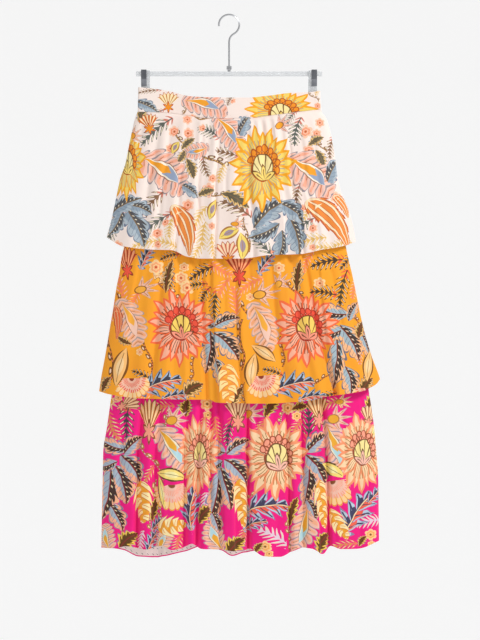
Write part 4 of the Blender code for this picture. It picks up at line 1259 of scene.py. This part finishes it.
def threads(tree, cloth, stretch):
    """Noise drawn out along one direction of the cloth."""
    mapping = tree.nodes.new("ShaderNodeMapping")
    mapping.inputs["Scale"].default_value = stretch
    tree.links.new(cloth, mapping.inputs["Vector"])
    return field(tree, mapping.outputs[0], THREAD_SCALE)


def weave(tree, cloth, shader):
    """Fine crepe grain: threads along and down, with slubs."""
    height = (threads(tree, cloth, (1.0, THREAD_STRETCH, 1.0))
              + threads(tree, cloth, (THREAD_STRETCH, 1.0, 1.0)))
    slack = field(tree, cloth, SLACK_SCALE, 1.0)
    fine_bumps(tree, shader, height + slack * 2.0, strength=0.35, distance=0.0004)
    feed(tree, height * 0.10 + 0.66, shader, "Roughness")
    shader.inputs["Sheen Weight"].default_value = SHEEN


def dyed(tree, cloth, ground, blush):
    """A canvas of one plain colour with a faint uneven blush."""
    canvas = Canvas(tree, ground)
    canvas.paint(most((field(tree, cloth, MOTTLE_SCALE) - 0.45) * 1.6, 0.0), blush)
    return canvas


def printed_cloth(name, ink):
    """Printed viscose: three layers of hand-drawn motifs on a plain ground."""
    made, tree, shader = fresh_stuff(name)
    shader.inputs["Sheen Roughness"].default_value = 0.5
    shader.inputs["Specular IOR Level"].default_value = 0.25
    cloth = attribute_node(tree, "cloth")
    canvas = dyed(tree, cloth, ink.ground, ink.blush)
    for layer in LAYERS:
        print_layer(canvas, cloth, layer, ink)
    along, down, wrong = split(tree, cloth)
    canvas.paint(wrong * WRONG_SIDE, hue(252, 238, 232))
    stagger = part(down * (0.5 * SPECK_PITCH)) * 2.0
    speck = near(part(along * SPECK_PITCH + stagger), 0.5, 0.09)
    speck = speck * near(part(down * SPECK_PITCH), 0.5, 0.12)
    canvas.paint(speck * wrong, hue(150, 140, 140))
    canvas.paint((down < HEM_TURN) * wrong, ink.ground)
    canvas.show(shader)
    weave(tree, cloth, shader)
    return made


def carrier_cloth():
    """The plain pale cloth of the underskirt."""
    made, tree, shader = fresh_stuff("underskirt_cloth")
    cloth = attribute_node(tree, "cloth")
    canvas = dyed(tree, cloth, hue(240, 226, 218), hue(236, 216, 208))
    canvas.show(shader)
    weave(tree, cloth, shader)
    return made


def hard_stuff(name, plain, worn, rough, metallic=0.0, clear=0.0):
    """Moulded plastic or drawn steel: faint flow marks and handling scuffs."""
    made, tree, shader = fresh_stuff(name)
    shader.inputs["Metallic"].default_value = metallic
    shader.inputs["Transmission Weight"].default_value = clear
    place = tree.nodes.new("ShaderNodeTexCoord").outputs["Object"]
    scuff = field(tree, place, SCUFF_SCALE, 3.0)
    canvas = Canvas(tree, plain)
    canvas.paint(most((scuff - 0.5) * 2.5, 0.0), worn)
    canvas.show(shader)
    feed(tree, scuff * 0.16 + rough, shader, "Roughness")
    fine_bumps(tree, shader, field(tree, place, GRAIN_SCALE, 4.0), strength=0.12, distance=0.0003)
    return made


def dressed(panel, motifs, shift, stuff):
    node = panel.name
    panel.name = "cloth_" + node
    piece = wall_object(panel, motifs, shift, stuff)
    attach(piece, "root")
    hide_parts(node)
    panel.flat()


def make_waistband(side, name, gathers, motifs, shift, stuff):
    """One half of the waistband."""
    def ring(across, drop, fall):
        x, y = waist_outline(side, across, drop)
        middle = np.clip(1.0 - ((2.0 * across - 1.0) / BAND_GATHER_REACH) ** 2, 0.0, 1.0)
        pucker = gather_height(gathers, across, np.full_like(across, GATHER_RISE))
        return x, y + side * middle * pucker

    across = even_columns(
        lambda a: waist_outline(side, a, level(BAND_EVEN_AT)(a)), BAND_COLUMNS)
    panel = Panel(name, side, across, BAND_ROWS, edge(WAIST_TOP), edge(WAIST_SEAM), ring, BAND_SHELL)
    dressed(panel, motifs, shift, stuff)


def make_underskirt(side, name, stuff):
    """One half of the plain carrier under the tiers."""
    def ring(across, drop, fall):
        if fall == 0.0:
            return waist_outline(side, across, drop, CARRIER_INSET, CARRIER_LIFT)
        return tier_outline(side, UNDERSKIRT_SECTIONS, across, drop, 0.0)

    across = even_columns(
        lambda a: tier_outline(side, UNDERSKIRT_SECTIONS, a, level(UNDERSKIRT_EVEN_AT)(a), 0.0),
        UNDERSKIRT_COLUMNS)
    panel = Panel(name, side, across, UNDERSKIRT_ROWS, edge(WAIST_SEAM, CARRIER_DROP),
                  level(UNDERSKIRT_HEM), ring, SHELL)
    dressed(panel, (), 0.0, stuff)


def underskirt_seam(side, across, drop):
    """A lower tier's top edge, lying on the underskirt."""
    x, y = tier_outline(side, UNDERSKIRT_SECTIONS, across, drop, 0.0)
    return moved_out(side, x, y, CARRIER_LIFT)


def make_tier(tier, half, hem, folds, creases):
    """One gathered half tier, its top edge on the seam of what carries it."""
    side = half.side

    def ring(across, drop, fall):
        if fall == 0.0:
            return tier.seam(side, across, drop)
        left = read(tier.sections, "drop", "left", drop)
        width = read(tier.sections, "drop", "right", drop) - left
        relief, over = fold_height(folds, across, fall, width)
        relief = relief + gather_height(half.gathers, across, fall)
        relief = relief + crease_height(creases, across, fall, width)
        return tier_outline(side, tier.sections, across, drop, relief, over)

    hem = edge(hem)
    across = even_columns(lambda a: ring(a, hem(a), TIER_EVEN_AT), half.columns)
    name = f"{tier.name}_{half.word}"
    panel = Panel(name, side, across, half.rows, tier.top, hem, ring, SHELL)
    dressed(panel, tier.motifs, half.shift, tier.stuff)


def make_cloth():
    """The waistband, the carrier and the three tiers, front and back."""
    cream = printed_cloth("cream_print", CREAM_INK)
    marigold = printed_cloth("marigold_print", MARIGOLD_INK)
    pink = printed_cloth("pink_print", PINK_INK)
    carrier = carrier_cloth()
    make_waistband(FRONT, "waistband_front", NO_GATHERS, BAND_MOTIFS, 0.0, cream)
    make_waistband(BACK, "waistband_back", BAND_BACK_GATHERS, BAND_MOTIFS, BACK_SHIFT, cream)
    make_underskirt(FRONT, "underskirt_front", carrier)
    make_underskirt(BACK, "underskirt_back", carrier)
    one = Tier("tier_one", TIER_ONE_SECTIONS, edge(WAIST_SEAM, SEAM_GAP), waist_outline,
               cream, "cream_print", CREAM_MOTIFS)
    two = Tier("tier_two", TIER_TWO_SECTIONS, level(TIER_TWO_SEAM), underskirt_seam,
               marigold, "marigold_print", MARIGOLD_MOTIFS)
    three = Tier("tier_three", TIER_THREE_SECTIONS, level(TIER_THREE_SEAM), underskirt_seam,
                 pink, "pink_print", PINK_MOTIFS)
    front, back = HALVES
    for tier, half, hem, folds, creases in (
            (one, front, TIER_ONE_HEM, TIER_ONE_FOLDS, TIER_ONE_CREASES),
            (one, back, TIER_ONE_HEM, TIER_ONE_BACK_FOLDS, TIER_ONE_BACK_CREASES),
            (two, front, TIER_TWO_HEM, TIER_TWO_FOLDS, TIER_TWO_CREASES),
            (two, back, TIER_TWO_HEM, TIER_TWO_BACK_FOLDS, TIER_TWO_BACK_CREASES),
            (three, front, TIER_THREE_HEM, TIER_THREE_FOLDS, TIER_THREE_CREASES),
            (three, back, TIER_THREE_BACK_HEM, TIER_THREE_BACK_FOLDS, TIER_THREE_BACK_CREASES)):
        make_tier(tier, half, hem, folds, creases)


def finish_hanger():
    """Better finishes on the hanger's own solids."""
    plastic = hard_stuff("hanger_plastic", hue(236, 238, 240), hue(246, 247, 248), 0.16, clear=0.55)
    steel = hard_stuff("hanger_steel", hue(196, 197, 200), hue(222, 222, 224), 0.20, metallic=1.0)
    spring = hard_stuff("spring_steel", hue(120, 122, 128), hue(156, 158, 164), 0.28, metallic=1.0)
    finishes = {
        "hanger_bar": plastic, "clip_left": plastic, "clip_right": plastic,
        "hanger_hook": steel, "hanger_collar": steel,
        "spring_left": spring, "spring_right": spring,
    }
    for node, stuff in finishes.items():
        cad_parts[node].data.materials.clear()
        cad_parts[node].data.materials.append(stuff)


def make_camera():
    """A long lens square to the front, framed as the hung view."""
    data = bpy.data.cameras.new("camera")
    data.sensor_fit = "VERTICAL"
    data.lens = data.sensor_height * CAMERA_DISTANCE / (VIEW_HEIGHT * PIXEL)
    data.clip_end = 100.0
    camera = bpy.data.objects.new("camera", data)
    camera.location = (
        (0.5 * VIEW_WIDTH - SEAT_PX) * PIXEL * MM,
        -(CAMERA_DISTANCE + CLOTH_FRONT) * MM,
        (SEAT_PY - 0.5 * VIEW_HEIGHT) * PIXEL * MM,
    )
    camera.rotation_euler = (math.radians(90.0), 0.0, 0.0)
    bpy.context.scene.collection.objects.link(camera)
    bpy.context.scene.camera = camera


def area_light(name, location, size, energy):
    """One soft box aimed at the skirt."""
    data = bpy.data.lights.new(name, "AREA")
    data.shape = "SQUARE"
    data.size = size
    data.energy = energy
    lamp = bpy.data.objects.new(name, data)
    lamp.location = location
    away = np.array(location) - np.array(LAMP_AIM)
    lamp.rotation_euler = (
        math.atan2(math.hypot(away[0], away[1]), away[2]), 0.0,
        math.atan2(away[1], away[0]) + 0.5 * math.pi)
    bpy.context.scene.collection.objects.link(lamp)


def sweep_stuff():
    """Pale grey paper that glows a little."""
    made, tree, shader = fresh_stuff("studio_sweep")
    shader.inputs["Roughness"].default_value = 0.9
    place = tree.nodes.new("ShaderNodeTexCoord").outputs["Object"]
    canvas = Canvas(tree, hue(170, 170, 170))
    canvas.paint(field(tree, place, 3.0) * 0.4, hue(167, 167, 167))
    canvas.show(shader)
    shader.inputs["Emission Color"].default_value = (1.0, 1.0, 1.0, 1.0)
    shader.inputs["Emission Strength"].default_value = SWEEP_GLOW
    return made


def make_sweep():
    """A pale sheet behind and below, with a round bend between."""
    rows = [(-SWEEP_SPAN, SWEEP_FLOOR)]
    for turn in np.linspace(0.0, 0.5 * math.pi, SWEEP_STEPS):
        y = SWEEP_BACK - SWEEP_BEND * (1.0 - math.sin(turn))
        rows.append((y, SWEEP_FLOOR + SWEEP_BEND * (1.0 - math.cos(turn))))
    rows.append((SWEEP_BACK, SWEEP_SPAN))
    shape = bmesh.new()
    lines = [[shape.verts.new((x, y, z)) for x in (-SWEEP_SPAN, SWEEP_SPAN)] for y, z in rows]
    for low, high in zip(lines[:-1], lines[1:]):
        shape.faces.new((low[0], low[1], high[1], high[0]))
    mesh = bpy.data.meshes.new("studio_sweep")
    shape.to_mesh(mesh)
    shape.free()
    mesh.materials.append(sweep_stuff())
    mesh.shade_smooth()
    sweep = bpy.data.objects.new("studio_sweep", mesh)
    bpy.context.scene.collection.objects.link(sweep)


def make_studio():
    """The sweep, two lamps and an even white sky."""
    make_sweep()
    for lamp in LAMPS:
        area_light(*lamp)
    world = bpy.data.worlds.new("studio")
    world.use_nodes = True
    sky = world.node_tree.nodes["Background"]
    sky.inputs["Color"].default_value = (1.0, 1.0, 1.0, 1.0)
    sky.inputs["Strength"].default_value = WORLD_STRENGTH
    bpy.context.scene.world = world
    bpy.context.scene.view_settings.view_transform = "Standard"


make_camera()
make_cloth()
finish_hanger()
make_studio()
